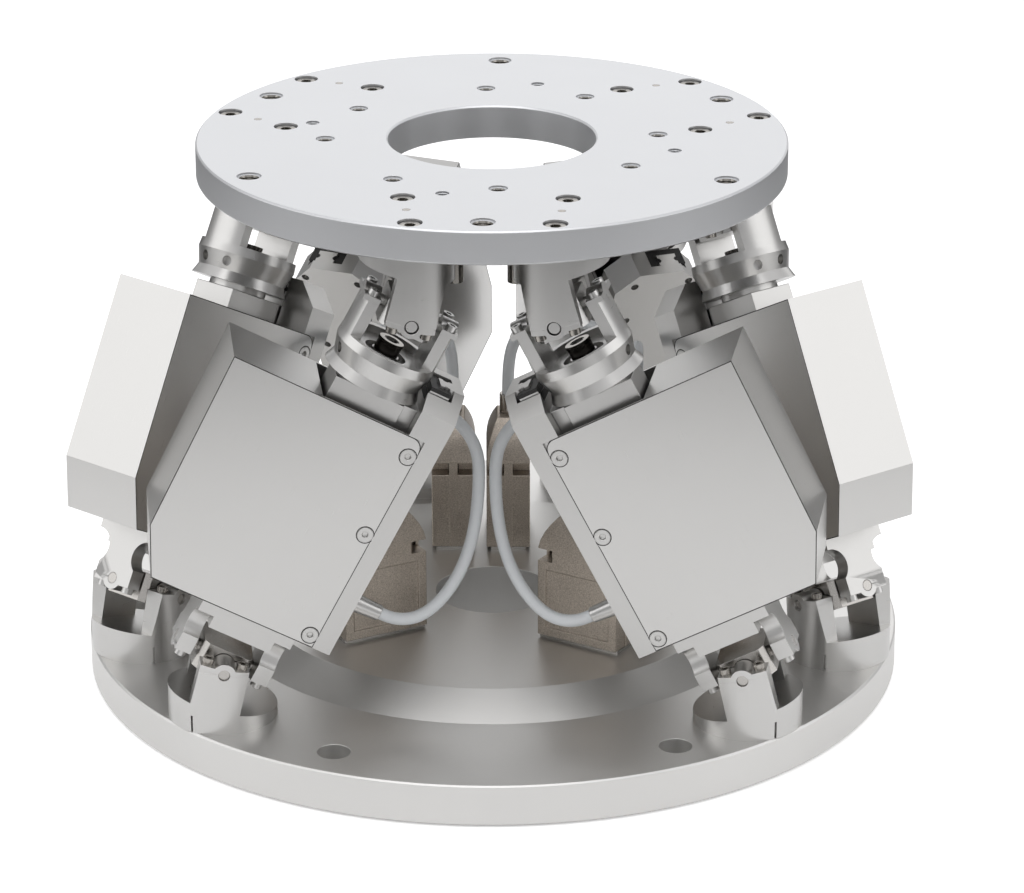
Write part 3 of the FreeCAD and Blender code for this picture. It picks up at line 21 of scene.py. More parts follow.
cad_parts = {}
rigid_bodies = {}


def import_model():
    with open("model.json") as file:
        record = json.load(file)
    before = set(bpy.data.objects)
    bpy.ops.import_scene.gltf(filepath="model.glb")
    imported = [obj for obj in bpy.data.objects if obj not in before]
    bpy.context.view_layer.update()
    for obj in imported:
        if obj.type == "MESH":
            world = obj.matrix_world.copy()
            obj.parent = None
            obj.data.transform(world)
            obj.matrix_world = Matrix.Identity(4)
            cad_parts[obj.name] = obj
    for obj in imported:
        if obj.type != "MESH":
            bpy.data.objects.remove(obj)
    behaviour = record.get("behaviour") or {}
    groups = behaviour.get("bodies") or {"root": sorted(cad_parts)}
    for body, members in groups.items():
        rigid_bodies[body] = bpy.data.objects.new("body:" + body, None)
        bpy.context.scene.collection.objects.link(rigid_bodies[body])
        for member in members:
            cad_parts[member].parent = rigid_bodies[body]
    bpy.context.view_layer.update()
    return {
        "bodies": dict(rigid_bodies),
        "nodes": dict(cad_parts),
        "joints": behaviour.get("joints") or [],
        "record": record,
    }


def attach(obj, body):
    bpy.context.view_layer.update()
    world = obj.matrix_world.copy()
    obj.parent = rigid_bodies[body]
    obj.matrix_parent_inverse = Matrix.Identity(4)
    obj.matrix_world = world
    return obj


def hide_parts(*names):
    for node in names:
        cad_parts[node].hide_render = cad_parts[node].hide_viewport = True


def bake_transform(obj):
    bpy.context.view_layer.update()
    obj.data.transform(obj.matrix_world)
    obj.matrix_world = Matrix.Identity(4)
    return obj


log = logging.getLogger("hexapod_stage")

MM = 0.001
WHITE = (1, 1, 1, 1)
STRUT_NUMBERS = (1, 2, 3, 4, 5, 6)


def linear(colour: str) -> tuple[float, float, float, float]:
    """Turn an sRGB hex colour into linear light.

    Args:
        colour: Six hex digits, with or without a leading hash.

    Returns:
        Red, green, blue and an alpha of one.
    """
    digits = colour.lstrip("#")
    channels = [int(digits[i : i + 2], 16) / 255 for i in (0, 2, 4)]
    light = [c / 12.92 if c <= 0.04045 else ((c + 0.055) / 1.055) ** 2.4 for c in channels]
    return light[0], light[1], light[2], 1.0


def add_node(
    tree: bpy.types.NodeTree,
    kind: str,
    links: dict[Any, Any] | None = None,
    **settings: Any,
) -> bpy.types.Node:
    """Add a shader node with its settings, values and links.

    Args:
        tree: The node tree that gets the node.
        kind: The node's type name.
        links: Input name or number to a value or to another node's output.
        settings: Properties of the node itself.

    Returns:
        The new node.
    """
    made = tree.nodes.new(kind)
    for name, value in settings.items():
        setattr(made, name, value)
    for name, value in (links or {}).items():
        if isinstance(value, bpy.types.NodeSocket):
            tree.links.new(value, made.inputs[name])
        else:
            made.inputs[name].default_value = value
    return made


def mixed_tone(
    tree: bpy.types.NodeTree,
    share: bpy.types.NodeSocket,
    low: Any,
    high: Any,
) -> bpy.types.NodeSocket:
    """Mix two colours by a pattern.

    Args:
        tree: The node tree.
        share: The pattern's output, 0 for the low colour and 1 for the high one.
        low: The colour at 0.
        high: The colour at 1.

    Returns:
        The mixed colour's output.
    """
    mix = add_node(tree, "ShaderNodeMix", {0: share, 6: low, 7: high}, data_type="RGBA")
    return mix.outputs[2]


def start_material(name: str) -> tuple[bpy.types.Material, bpy.types.NodeTree]:
    """Make an empty node material.

    Args:
        name: The material's name.

    Returns:
        The material and its cleared node tree.
    """
    material = bpy.data.materials.new(name)
    material.use_nodes = True
    material.node_tree.nodes.clear()
    return material, material.node_tree


def select_only(piece: bpy.types.Object) -> None:
    """Make one object the only selected one, and the active one."""
    bpy.ops.object.select_all(action="DESELECT")
    piece.select_set(True)
    bpy.context.view_layer.objects.active = piece


def pick_faces(piece: bpy.types.Object, picked: set[int]) -> int:
    """Select the faces of given numbers, and enter edit mode on them.

    Args:
        piece: The object to edit.
        picked: The faces' numbers.

    Returns:
        How many faces are selected.
    """
    select_only(piece)
    bpy.ops.object.mode_set(mode="EDIT")
    bpy.ops.mesh.select_mode(type="FACE")
    bpy.ops.mesh.select_all(action="DESELECT")
    bpy.ops.object.mode_set(mode="OBJECT")
    for index in picked:
        piece.data.polygons[index].select = True
    bpy.ops.object.mode_set(mode="EDIT")
    return len(picked)


def select_faces(piece: bpy.types.Object, wanted: Any) -> int:
    """Select the faces that a test picks, and enter edit mode on them.

    Args:
        piece: The object to edit.
        wanted: A test that takes a face's centre and normal.

    Returns:
        How many faces are selected.
    """
    return pick_faces(piece, {face.index for face in piece.data.polygons if wanted(face.center, face.normal)})


def leave_edit() -> None:
    """Go back to object mode."""
    bpy.ops.object.mode_set(mode="OBJECT")


def bake_place(piece: bpy.types.Object, frame: Matrix | None = None) -> bpy.types.Object:
    """Move an object's place into its mesh, so that it sits at the origin.

    Args:
        piece: The object.
        frame: A further placement, such as a strut's frame.

    Returns:
        The same object.
    """
    bpy.context.view_layer.update()
    whole = (frame or Matrix.Identity(4)) @ piece.matrix_world
    piece.data.transform(whole)
    if whole.determinant() < 0:
        piece.data.flip_normals()
    piece.matrix_world = Matrix.Identity(4)
    return piece


def twin(piece: bpy.types.Object, name: str) -> bpy.types.Object:
    """Copy an object with a mesh of its own.

    Args:
        piece: The object to copy.
        name: The copy's name.

    Returns:
        The copy, linked to the scene.
    """
    copy = bpy.data.objects.new(name, piece.data.copy())
    copy.matrix_world = piece.matrix_world.copy()
    bpy.context.scene.collection.objects.link(copy)
    return copy


def joined(pieces: list[bpy.types.Object], name: str) -> bpy.types.Object:
    """Join several objects into one.

    Args:
        pieces: The objects, the first of which takes the others in.
        name: The joined object's name.

    Returns:
        The joined object.
    """
    select_only(pieces[0])
    for piece in pieces:
        piece.select_set(True)
    bpy.ops.object.join()
    pieces[0].name = name
    return pieces[0]


def soften(piece: bpy.types.Object, width: float, segments: int = 2, angle: float = 20.0) -> None:
    """Break the sharp edges of a machined piece and shade it as flat faces with soft rims.

    Args:
        piece: The object.
        width: The broken edge's width in metres.
        segments: How many steps the broken edge has.
        angle: Edges sharper than this many degrees are broken.
    """
    select_only(piece)
    bpy.ops.object.shade_smooth_by_angle(angle=math.radians(angle))
    bevel = piece.modifiers.new("broken_edges", "BEVEL")
    bevel.width = width
    bevel.segments = segments
    bevel.limit_method = "ANGLE"
    bevel.angle_limit = math.radians(angle)
    bevel.use_clamp_overlap = True
    bevel.harden_normals = False
    bpy.ops.object.modifier_apply(modifier=bevel.name)
    bpy.ops.object.shade_smooth_by_angle(angle=math.radians(50))
    weighted = piece.modifiers.new("flat_faces", "WEIGHTED_NORMAL")
    weighted.keep_sharp = True
    weighted.weight = 80
    bpy.ops.object.modifier_apply(modifier=weighted.name)


def show_with(piece: bpy.types.Object, *materials: bpy.types.Material) -> None:
    """Give a piece its materials, in the order of its slots."""
    piece.data.materials.clear()
    for material in materials:
        piece.data.materials.append(material)


class Grain(Enum):
    """How the marks of the last operation run, as stretch along X, Y and Z."""

    TURNED = (0.03, 0.03, 1.0)
    BRUSHED_UP = (1.0, 1.0, 0.02)
    BRUSHED_ACROSS = (0.02, 1.0, 1.0)
    BLASTED = (1.0, 1.0, 1.0)


@dataclass(frozen=True)
class MetalFinish:
    """A machined, brushed or plated metal surface.

    The eye sees a mirror blurred by fine marks: the marks vary the roughness and carry a
    faint relief, and a slow cloudiness shifts the tone as handling and oil do.
    """

    name: str
    colour: str
    roughness: float
    grain: Grain
    mark: float
    relief: float = 0.004
    rough_swing: float = 0.08
    tone_swing: float = 0.05
    cloud: float = 35.0
    anisotropy: float = 0.0

    def build(self, frame: Matrix | None = None, suffix: str = "") -> bpy.types.Material:
        """Make the material.

        Args:
            frame: The piece's own frame, so that the marks follow it.
            suffix: Text that sets this copy's name apart.

        Returns:
            The material.
        """
        material, tree = start_material(self.name + suffix)
        turn = (frame or Matrix.Identity(4)).to_3x3().transposed().to_euler()
        place = add_node(tree, "ShaderNodeTexCoord")
        own = add_node(tree, "ShaderNodeMapping", {"Vector": place.outputs["Object"], "Rotation": turn})
        per_metre = 1.0 / (self.mark * MM)
        stretch = [part * per_metre for part in self.grain.value]
        marks_at = add_node(tree, "ShaderNodeMapping", {"Vector": own.outputs["Vector"], "Scale": stretch})
        marks = add_node(
            tree,
            "ShaderNodeTexNoise",
            {"Vector": marks_at.outputs["Vector"], "Scale": 1.0, "Detail": 3.0, "Roughness": 0.6},
        )
        clouds = add_node(
            tree,
            "ShaderNodeTexNoise",
            {"Vector": own.outputs["Vector"], "Scale": self.cloud, "Detail": 2.0},
        )
        rough = add_node(
            tree,
            "ShaderNodeMapRange",
            {
                "Value": marks.outputs["Fac"],
                "From Min": 0.25,
                "From Max": 0.75,
                "To Min": self.roughness - self.rough_swing,
                "To Max": self.roughness + self.rough_swing,
            },
        )
        base = linear(self.colour)
        dark = [c * (1 - self.tone_swing) for c in base[:3]] + [1.0]
        light = [min(1.0, c * (1 + self.tone_swing)) for c in base[:3]] + [1.0]
        both = add_node(
            tree,
            "ShaderNodeMath",
            {0: marks.outputs["Fac"], 1: clouds.outputs["Fac"]},
            operation="ADD",
        )
        half = add_node(tree, "ShaderNodeMath", {0: both.outputs[0], 1: 0.5}, operation="MULTIPLY")
        tone = mixed_tone(tree, half.outputs[0], dark, light)
        bump = add_node(
            tree,
            "ShaderNodeBump",
            {
                "Height": marks.outputs["Fac"],
                "Strength": min(1.0, self.relief * 20),
                "Distance": self.relief * MM,
            },
        )
        shader = add_node(
            tree,
            "ShaderNodeBsdfPrincipled",
            {
                "Base Color": tone,
                "Metallic": 1.0,
                "Roughness": rough.outputs["Result"],
                "Anisotropic": self.anisotropy,
                "Normal": bump.outputs["Normal"],
            },
        )
        add_node(tree, "ShaderNodeOutputMaterial", {"Surface": shader.outputs["BSDF"]})
        return material


@dataclass(frozen=True)
class CastNickel:
    """Nickel plated zinc die casting: a warm bright metal over a fine pebbled mould texture."""

    name: str = "nickel_plated_die_casting"
    colour: str = "#D3C9BD"
    dull: str = "#A1978C"
    roughness: float = 0.36
    pebble: float = 0.42
    stain: float = 14.0
    stain_share: float = 0.3
    tone_low: float = 0.45
    tone_high: float = 0.85
    smoother: float = 0.08
    rougher: float = 0.16
    relief: float = 0.14

    def build(self) -> bpy.types.Material:
        """Make the material and return it."""
        material, tree = start_material(self.name)
        place = add_node(tree, "ShaderNodeTexCoord")
        pebbles = add_node(
            tree,
            "ShaderNodeTexNoise",
            {
                "Vector": place.outputs["Object"],
                "Scale": 1.0 / (self.pebble * MM),
                "Detail": 3.0,
                "Roughness": 0.6,
            },
        )
        stains = add_node(
            tree,
            "ShaderNodeTexNoise",
            {"Vector": place.outputs["Object"], "Scale": 1.0 / (self.stain * MM), "Detail": 3.0},
        )
        both = add_node(
            tree,
            "ShaderNodeMath",
            {0: stains.outputs["Fac"], 1: self.stain_share, 2: pebbles.outputs["Fac"]},
            operation="MULTIPLY_ADD",
        )
        share = add_node(
            tree,
            "ShaderNodeMapRange",
            {"Value": both.outputs[0], "From Min": self.tone_low, "From Max": self.tone_high},
        )
        tone = mixed_tone(tree, share.outputs["Result"], linear(self.dull), linear(self.colour))
        rough = add_node(
            tree,
            "ShaderNodeMapRange",
            {
                "Value": pebbles.outputs["Fac"],
                "To Min": self.roughness - self.smoother,
                "To Max": self.roughness + self.rougher,
            },
        )
        bump = add_node(
            tree,
            "ShaderNodeBump",
            {"Height": pebbles.outputs["Fac"], "Strength": 0.8, "Distance": self.relief * MM},
        )
        shader = add_node(
            tree,
            "ShaderNodeBsdfPrincipled",
            {
                "Base Color": tone,
                "Metallic": 1.0,
                "Roughness": rough.outputs["Result"],
                "Normal": bump.outputs["Normal"],
            },
        )
        add_node(tree, "ShaderNodeOutputMaterial", {"Surface": shader.outputs["BSDF"]})
        return material


@dataclass(frozen=True)
class PlasticFinish:
    """An extruded or moulded plastic with a soft sheen and a barely uneven skin."""

    name: str
    colour: str
    roughness: float
    wave: float = 2.0
    relief: float = 0.02

    def build(self) -> bpy.types.Material:
        """Make the material and return it."""
        material, tree = start_material(self.name)
        place = add_node(tree, "ShaderNodeTexCoord")
        skin = add_node(
            tree,
            "ShaderNodeTexNoise",
            {"Vector": place.outputs["Object"], "Scale": 1.0 / (self.wave * MM), "Detail": 2.0},
        )
        base = linear(self.colour)
        dark = [c * 0.94 for c in base[:3]] + [1.0]
        tone = mixed_tone(tree, skin.outputs["Fac"], dark, base)
        bump = add_node(
            tree,
            "ShaderNodeBump",
            {"Height": skin.outputs["Fac"], "Strength": 0.3, "Distance": self.relief * MM},
        )
        shader = add_node(
            tree,
            "ShaderNodeBsdfPrincipled",
            {
                "Base Color": tone,
                "Roughness": self.roughness,
                "Normal": bump.outputs["Normal"],
            },
        )
        add_node(tree, "ShaderNodeOutputMaterial", {"Surface": shader.outputs["BSDF"]})
        return material


# Satin aluminium, milled flat and glass-bead blasted: pale, even, a very fine grit
PLATFORM_ALUMINIUM = MetalFinish(
    "bead_blasted_aluminium_platform", "#D7D8DA", 0.42, Grain.BLASTED, 0.5, 0.006, 0.04, 0.03
)
# The base has the same treatment and is a shade warmer and darker
BASE_ALUMINIUM = MetalFinish(
    "bead_blasted_aluminium_base", "#DAD9D7", 0.42, Grain.BLASTED, 0.5, 0.006, 0.04, 0.03
)
# Joint forks and yokes are turned stainless steel: faint rings round their axis
TURNED_STEEL = MetalFinish("turned_stainless_steel", "#CAC9C7", 0.3, Grain.TURNED, 0.5, 0.003, 0.03, 0.03)
# Cross pieces and caps are ground: finer and darker
GROUND_STEEL = MetalFinish("ground_steel", "#B9B6B2", 0.25, Grain.BLASTED, 0.5, 0.003, 0.04, 0.05)
# Columns and blocks are milled: straight tool marks along the strut
MILLED_STEEL = MetalFinish("milled_steel", "#C9C8C6", 0.33, Grain.BRUSHED_UP, 0.5, 0.003, 0.03, 0.04)
# Cover sheets are brushed stainless: bright with short hairlines along the strut
BRUSHED_SHEET = MetalFinish(
    "brushed_stainless_sheet", "#CFCECC", 0.3, Grain.BRUSHED_UP, 0.18, 0.0004, 0.03, 0.015
)
# Screws are bright rolled steel
SCREW_STEEL = MetalFinish("bright_screw_steel", "#A5A19B", 0.18, Grain.BLASTED, 0.3, 0.003, 0.05, 0.06)
# Drive parts stay behind the covers: their dark steel is painted shade
DRIVE_STEEL = MetalFinish("drive_steel_painted_shade", "#55534F", 0.4, Grain.BLASTED, 0.5, 0.004, 0.05, 0.05)
# Cable jackets are white thermoplastic rubber, slightly milky
CABLE_JACKET = PlasticFinish("white_rubber_jacket", "#D9DCDE", 0.42)
# The bolts in the yokes have dark steel on their sides, with a narrow highlight, and bright steel on their
# upward faces
DARK_BOLT_SIDE = MetalFinish("dark_bolt_side_steel", "#4E4B48", 0.22, Grain.BLASTED, 0.3, 0.003, 0.05, 0.05)
# Painted shade of the open joint round a cover sheet: a dark border painted on the panel, as no light comes
# out of the joint
JOINT_GAP_PAINTED_SHADE = PlasticFinish("unlit_joint_gap", "#262524", 0.7, 1.0, 0.002)
# End seals of the linear guides are black moulded nitrile
BLACK_SEAL = PlasticFinish("black_nitrile_seal", "#191817", 0.5, 1.0, 0.01)


@dataclass(frozen=True)
class StrutFrame:
    """Where one strut stands, read from the frame's joints."""

    number: int
    origin: Vector
    along: Vector

    @classmethod
    def read(cls, number: int, joints: list[dict[str, Any]]) -> StrutFrame:
        """Find one strut's origin and direction.

        Args:
            number: The strut's number.
            joints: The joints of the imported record.

        Returns:
            The strut's frame.
        """
        by_name = {joint["name"]: joint for joint in joints}
        origin = Vector(by_name[f"strut_{number}_swing"]["pos_m"])
        along = Vector(by_name[f"rod_{number}_stroke"]["axis"]).normalized()
        return cls(number, origin, along)

    @property
    def other_hand(self) -> bool:
        """Whether the strut is the mirror image of the modelled one."""
        return self.number % 2 == 0

    def matrix(self) -> Matrix:
        """The strut's frame in the row frame."""
        flat = Vector((self.along.x, self.along.y, 0)).normalized()
        lean = math.hypot(self.along.x, self.along.y)
        across = (flat * self.along.z - Vector((0, 0, 1)) * lean).normalized()
        third = self.along.cross(across)
        placed = Matrix((across, third, self.along)).transposed().to_4x4()
        placed.translation = self.origin
        return placed

    def hand(self) -> Matrix:
        """The strut's frame for pieces modelled on the first hand, mirrored where it must be."""
        return self.matrix() @ Matrix.Diagonal((1, -1 if self.other_hand else 1, 1, 1))


@dataclass
class MachinedNodes:
    """CAD nodes shown through copies of them whose edges are broken, as deburred parts are."""

    frame: dict[str, Any]
    edge: float = 0.22 * MM
    flat: float = 0.4
    small: float = 9.5 * MM
    panel_area: float = 60.0
    panel_flat: float = 0.99
    panel_edge: float = 0.12 * MM
    # Width of the painted joint shade round each panel, in millimetres
    joint_line: float = 0.32
    made: int = 0

    def copy_of(self, node: str) -> bpy.types.Object:
        """Copy a CAD node as one merged mesh with whole flat faces.

        Args:
            node: The node's name.

        Returns:
            The copy.
        """
        source = self.frame["nodes"][node]
        copy = bpy.data.objects.new(node + "_shown", source.data.copy())
        bpy.context.scene.collection.objects.link(copy)
        select_only(copy)
        if copy.data.has_custom_normals:
            bpy.ops.mesh.customdata_custom_splitnormals_clear()
        bpy.ops.object.mode_set(mode="EDIT")
        bpy.ops.mesh.select_all(action="SELECT")
        bpy.ops.mesh.remove_doubles(threshold=0.5e-6)
        bpy.ops.mesh.dissolve_limited(angle_limit=math.radians(self.flat))
        leave_edit()
        return copy

    def mark_small(self, piece: bpy.types.Object, limit: float) -> None:
        """Give the second material to every loose shell whose diagonal is under a limit.

        Args:
            piece: The merged copy, with two materials.
            limit: The diagonal in metres.
        """
        mesh = piece.data
        lead = list(range(len(mesh.vertices)))

        def find(index: int) -> int:
            """The vertex that leads a shell."""
            while lead[index] != index:
                lead[index] = lead[lead[index]]
                index = lead[index]
            return index

        for edge in mesh.edges:
            one, other = find(edge.vertices[0]), find(edge.vertices[1])
            if one != other:
                lead[other] = one
        low: dict[int, Vector] = {}
        high: dict[int, Vector] = {}
        for vertex in mesh.vertices:
            key = find(vertex.index)
            if key not in low:
                low[key], high[key] = vertex.co.copy(), vertex.co.copy()
            for axis in range(3):
                low[key][axis] = min(low[key][axis], vertex.co[axis])
                high[key][axis] = max(high[key][axis], vertex.co[axis])
        for face in mesh.polygons:
            key = find(face.vertices[0])
            face.material_index = 1 if (high[key] - low[key]).length < limit else 0

    def line_panels(self, piece: bpy.types.Object, facing: Vector) -> None:
        """Give the second material, the painted shade of the joints, to a narrow border of every large flat
        face, round its holes too.

        Args:
            piece: The merged copy, with two materials.
            facing: The direction that the panels face, either way.
        """
        smallest = self.panel_area * MM * MM
        wide = {
            face.index
            for face in piece.data.polygons
            if abs(face.normal.dot(facing)) > self.panel_flat and face.area > smallest
        }
        for face in piece.data.polygons:
            face.material_index = 1 if face.index in wide else 0
        pick_faces(piece, wide)
        bpy.ops.mesh.inset(thickness=self.joint_line * MM)
        piece.active_material_index = 0
        bpy.ops.object.material_slot_assign()
        leave_edit()

    def show(
        self,
        node: str,
        body: str,
        main: bpy.types.Material,
        small: bpy.types.Material | None = None,
        edge: float | None = None,
        limit: float | None = None,
        facing: Vector | None = None,
    ) -> bpy.types.Object:
        """Show a node through its softened copy.

        Args:
            node: The CAD node.
            body: The body that it rides on.
            main: The material of its large pieces.
            small: The material of its screws and other small pieces.
            edge: Width of the broken edges, if not the usual one.
            limit: Diagonal under which a piece is small.
            facing: Where its panels face, if the second material paints the joints' shade round them.

        Returns:
            The copy that is shown.
        """
        copy = self.copy_of(node)
        if small:
            show_with(copy, main, small)
            if facing:
                self.line_panels(copy, facing)
            else:
                self.mark_small(copy, limit or self.small)
        else:
            show_with(copy, main)
        soften(copy, edge or self.edge)
        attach(copy, body)
        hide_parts(node)
        self.made += 1
        return copy

    def paint(self, node: str, material: bpy.types.Material) -> None:
        """Give a CAD node that is shown as it is its material."""
        show_with(self.frame["nodes"][node], material)


@dataclass
class ThreadedHoles:
    """Cut threads that show inside the platform's screw holes."""

    top: float = 188.5 * MM
    mouth: float = 0.8 * MM
    depth: float = 10.5 * MM
    sides: int = 40

    def one(self, name: str, core: float, pitch: float) -> bpy.types.Object:
        """Model the thread of one hole at the origin, as by hand from a ring.

        Args:
            name: The piece's name.
            core: The hole's radius.
            pitch: The thread's pitch.

        Returns:
            The thread, open at both ends.
        """
        bpy.ops.object.select_all(action="DESELECT")
        bpy.ops.mesh.primitive_circle_add(
            vertices=self.sides, radius=core, fill_type="NOTHING", location=(0, 0, 0)
        )
        piece = bpy.context.object
        piece.name = name
        ridge = core - 0.16 * pitch
        bpy.ops.object.mode_set(mode="EDIT")
        bpy.ops.mesh.select_all(action="SELECT")
        wide = True
        for _ in range(int(self.depth / pitch) * 2):
            bpy.ops.mesh.extrude_region_move(TRANSFORM_OT_translate={"value": (0, 0, -pitch / 2)})
            share = ridge / core if wide else core / ridge
            bpy.ops.transform.resize(value=(share, share, 1))
            wide = not wide
        bpy.ops.mesh.select_all(action="SELECT")
        bpy.ops.mesh.normals_make_consistent(inside=True)
        leave_edit()
        select_only(piece)
        bpy.ops.object.shade_smooth_by_angle(angle=math.radians(20))
        return piece

    def place(
        self,
        name: str,
        circle: float,
        bearings: list[float],
        core: float,
        pitch: float,
        finish: bpy.types.Material,
    ) -> None:
        """Put one thread in each hole of a circle.

        Args:
            name: The first part of the piece's name.
            circle: The circle's radius.
            bearings: The holes' bearings in degrees.
            core: The holes' radius.
            pitch: The thread's pitch.
            finish: The material.
        """
        master = self.one(name, core - 0.03 * MM, pitch)
        copies = [master]
        for _ in bearings[1:]:
            copies.append(twin(master, name + "_copy"))
        for copy, bearing in zip(copies, bearings):
            angle = math.radians(bearing)
            spot = Vector((circle * math.cos(angle), circle * math.sin(angle), self.top - self.mouth))
            bake_place(copy, Matrix.Translation(spot))
        whole = joined(copies, name)
        show_with(whole, finish)
        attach(whole, "platform")
        log.info("%s: %d threads", name, len(bearings))


@dataclass
class SignalCables:
    """One cable per strut, from its outlet up, over and down into its connector."""

    radius: float = 2.1 * MM
    exit_run: float = 3.4 * MM
    outlet: tuple[float, float, float] = (42.0, 4.0, 34.0)
    front: float = 270.0
    ferrule_top: float = 76.3
    pairs: dict[int, float] = field(default_factory=lambda: {1: 270, 2: 270, 3: 30, 4: 30, 5: 150, 6: 150})
    rise: tuple[tuple[float, float, float], ...] = (
        (-29.3, -74.9, 43.3),
        (-25.9, -74.0, 43.0),
        (-22.6, -72.9, 43.5),
        (-19.2, -71.6, 45.0),
        (-15.3, -70.0, 48.2),
        (-11.3, -67.9, 53.0),
        (-7.5, -65.4, 59.8),
        (-4.8, -62.6, 68.0),
        (-3.3, -60.2, 77.0),
        (-2.7, -58.0, 86.3),
        (-2.9, -55.8, 95.0),
    )
    fall: tuple[tuple[float, float], ...] = (
        (0.09, 102.0),
        (0.26, 107.0),
        (0.48, 108.9),
        (0.70, 107.2),
        (0.87, 102.4),
        (0.965, 95.0),
        (1.0, 85.6),
    )

    def points(self, strut: StrutFrame, ferrule: tuple[float, float]) -> list[Vector]:
        """The given points of one cable.

        Args:
            strut: The strut that the cable comes from.
            ferrule: Where its connector stands, in millimetres.

        Returns:
            The points in metres.
        """
        placed = strut.hand()
        start = placed @ (Vector(self.outlet) * MM)
        way = (placed.to_3x3() @ Vector((1, 0, 0))).normalized()
        points = [start, start + way * self.exit_run]
        turn = Matrix.Rotation(math.radians(self.pairs[strut.number] - self.front), 4, "Z")
        for x, y, z in self.rise:
            points.append(turn @ (Vector((-x if strut.other_hand else x, y, z)) * MM))
        last = points[-1]
        goal = Vector(ferrule) * MM
        for share, height in self.fall:
            flat = last.xy.lerp(goal, share)
            points.append(Vector((flat.x, flat.y, height * MM)))
        points.append(Vector((goal.x, goal.y, self.ferrule_top * MM)))
        return points

    def lay(
        self,
        strut: StrutFrame,
        ferrule: tuple[float, float],
        finish: bpy.types.Material,
    ) -> bpy.types.Object:
        """Make one cable as a smooth curve turned into a mesh.

        Args:
            strut: The strut that the cable comes from.
            ferrule: Where its connector stands, in millimetres.
            finish: The material.

        Returns:
            The cable.
        """
        points = self.points(strut, ferrule)
        curve = bpy.data.curves.new(f"signal_cable_{strut.number}", "CURVE")
        curve.dimensions = "3D"
        curve.bevel_depth = self.radius
        curve.bevel_resolution = 6
        curve.resolution_u = 8
        curve.use_fill_caps = True
        spline = curve.splines.new("NURBS")
        spline.points.add(len(points) - 1)
        for point, spot in zip(spline.points, points):
            point.co = (*spot, 1.0)
        spline.order_u = 3
        spline.use_endpoint_u = True
        piece = bpy.data.objects.new(f"signal_cable_{strut.number}", curve)
        bpy.context.scene.collection.objects.link(piece)
        select_only(piece)
        bpy.ops.object.convert(target="MESH")
        piece = bpy.context.object
        select_only(piece)
        bpy.ops.object.shade_smooth()
        show_with(piece, finish)
        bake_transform(piece)
        return piece


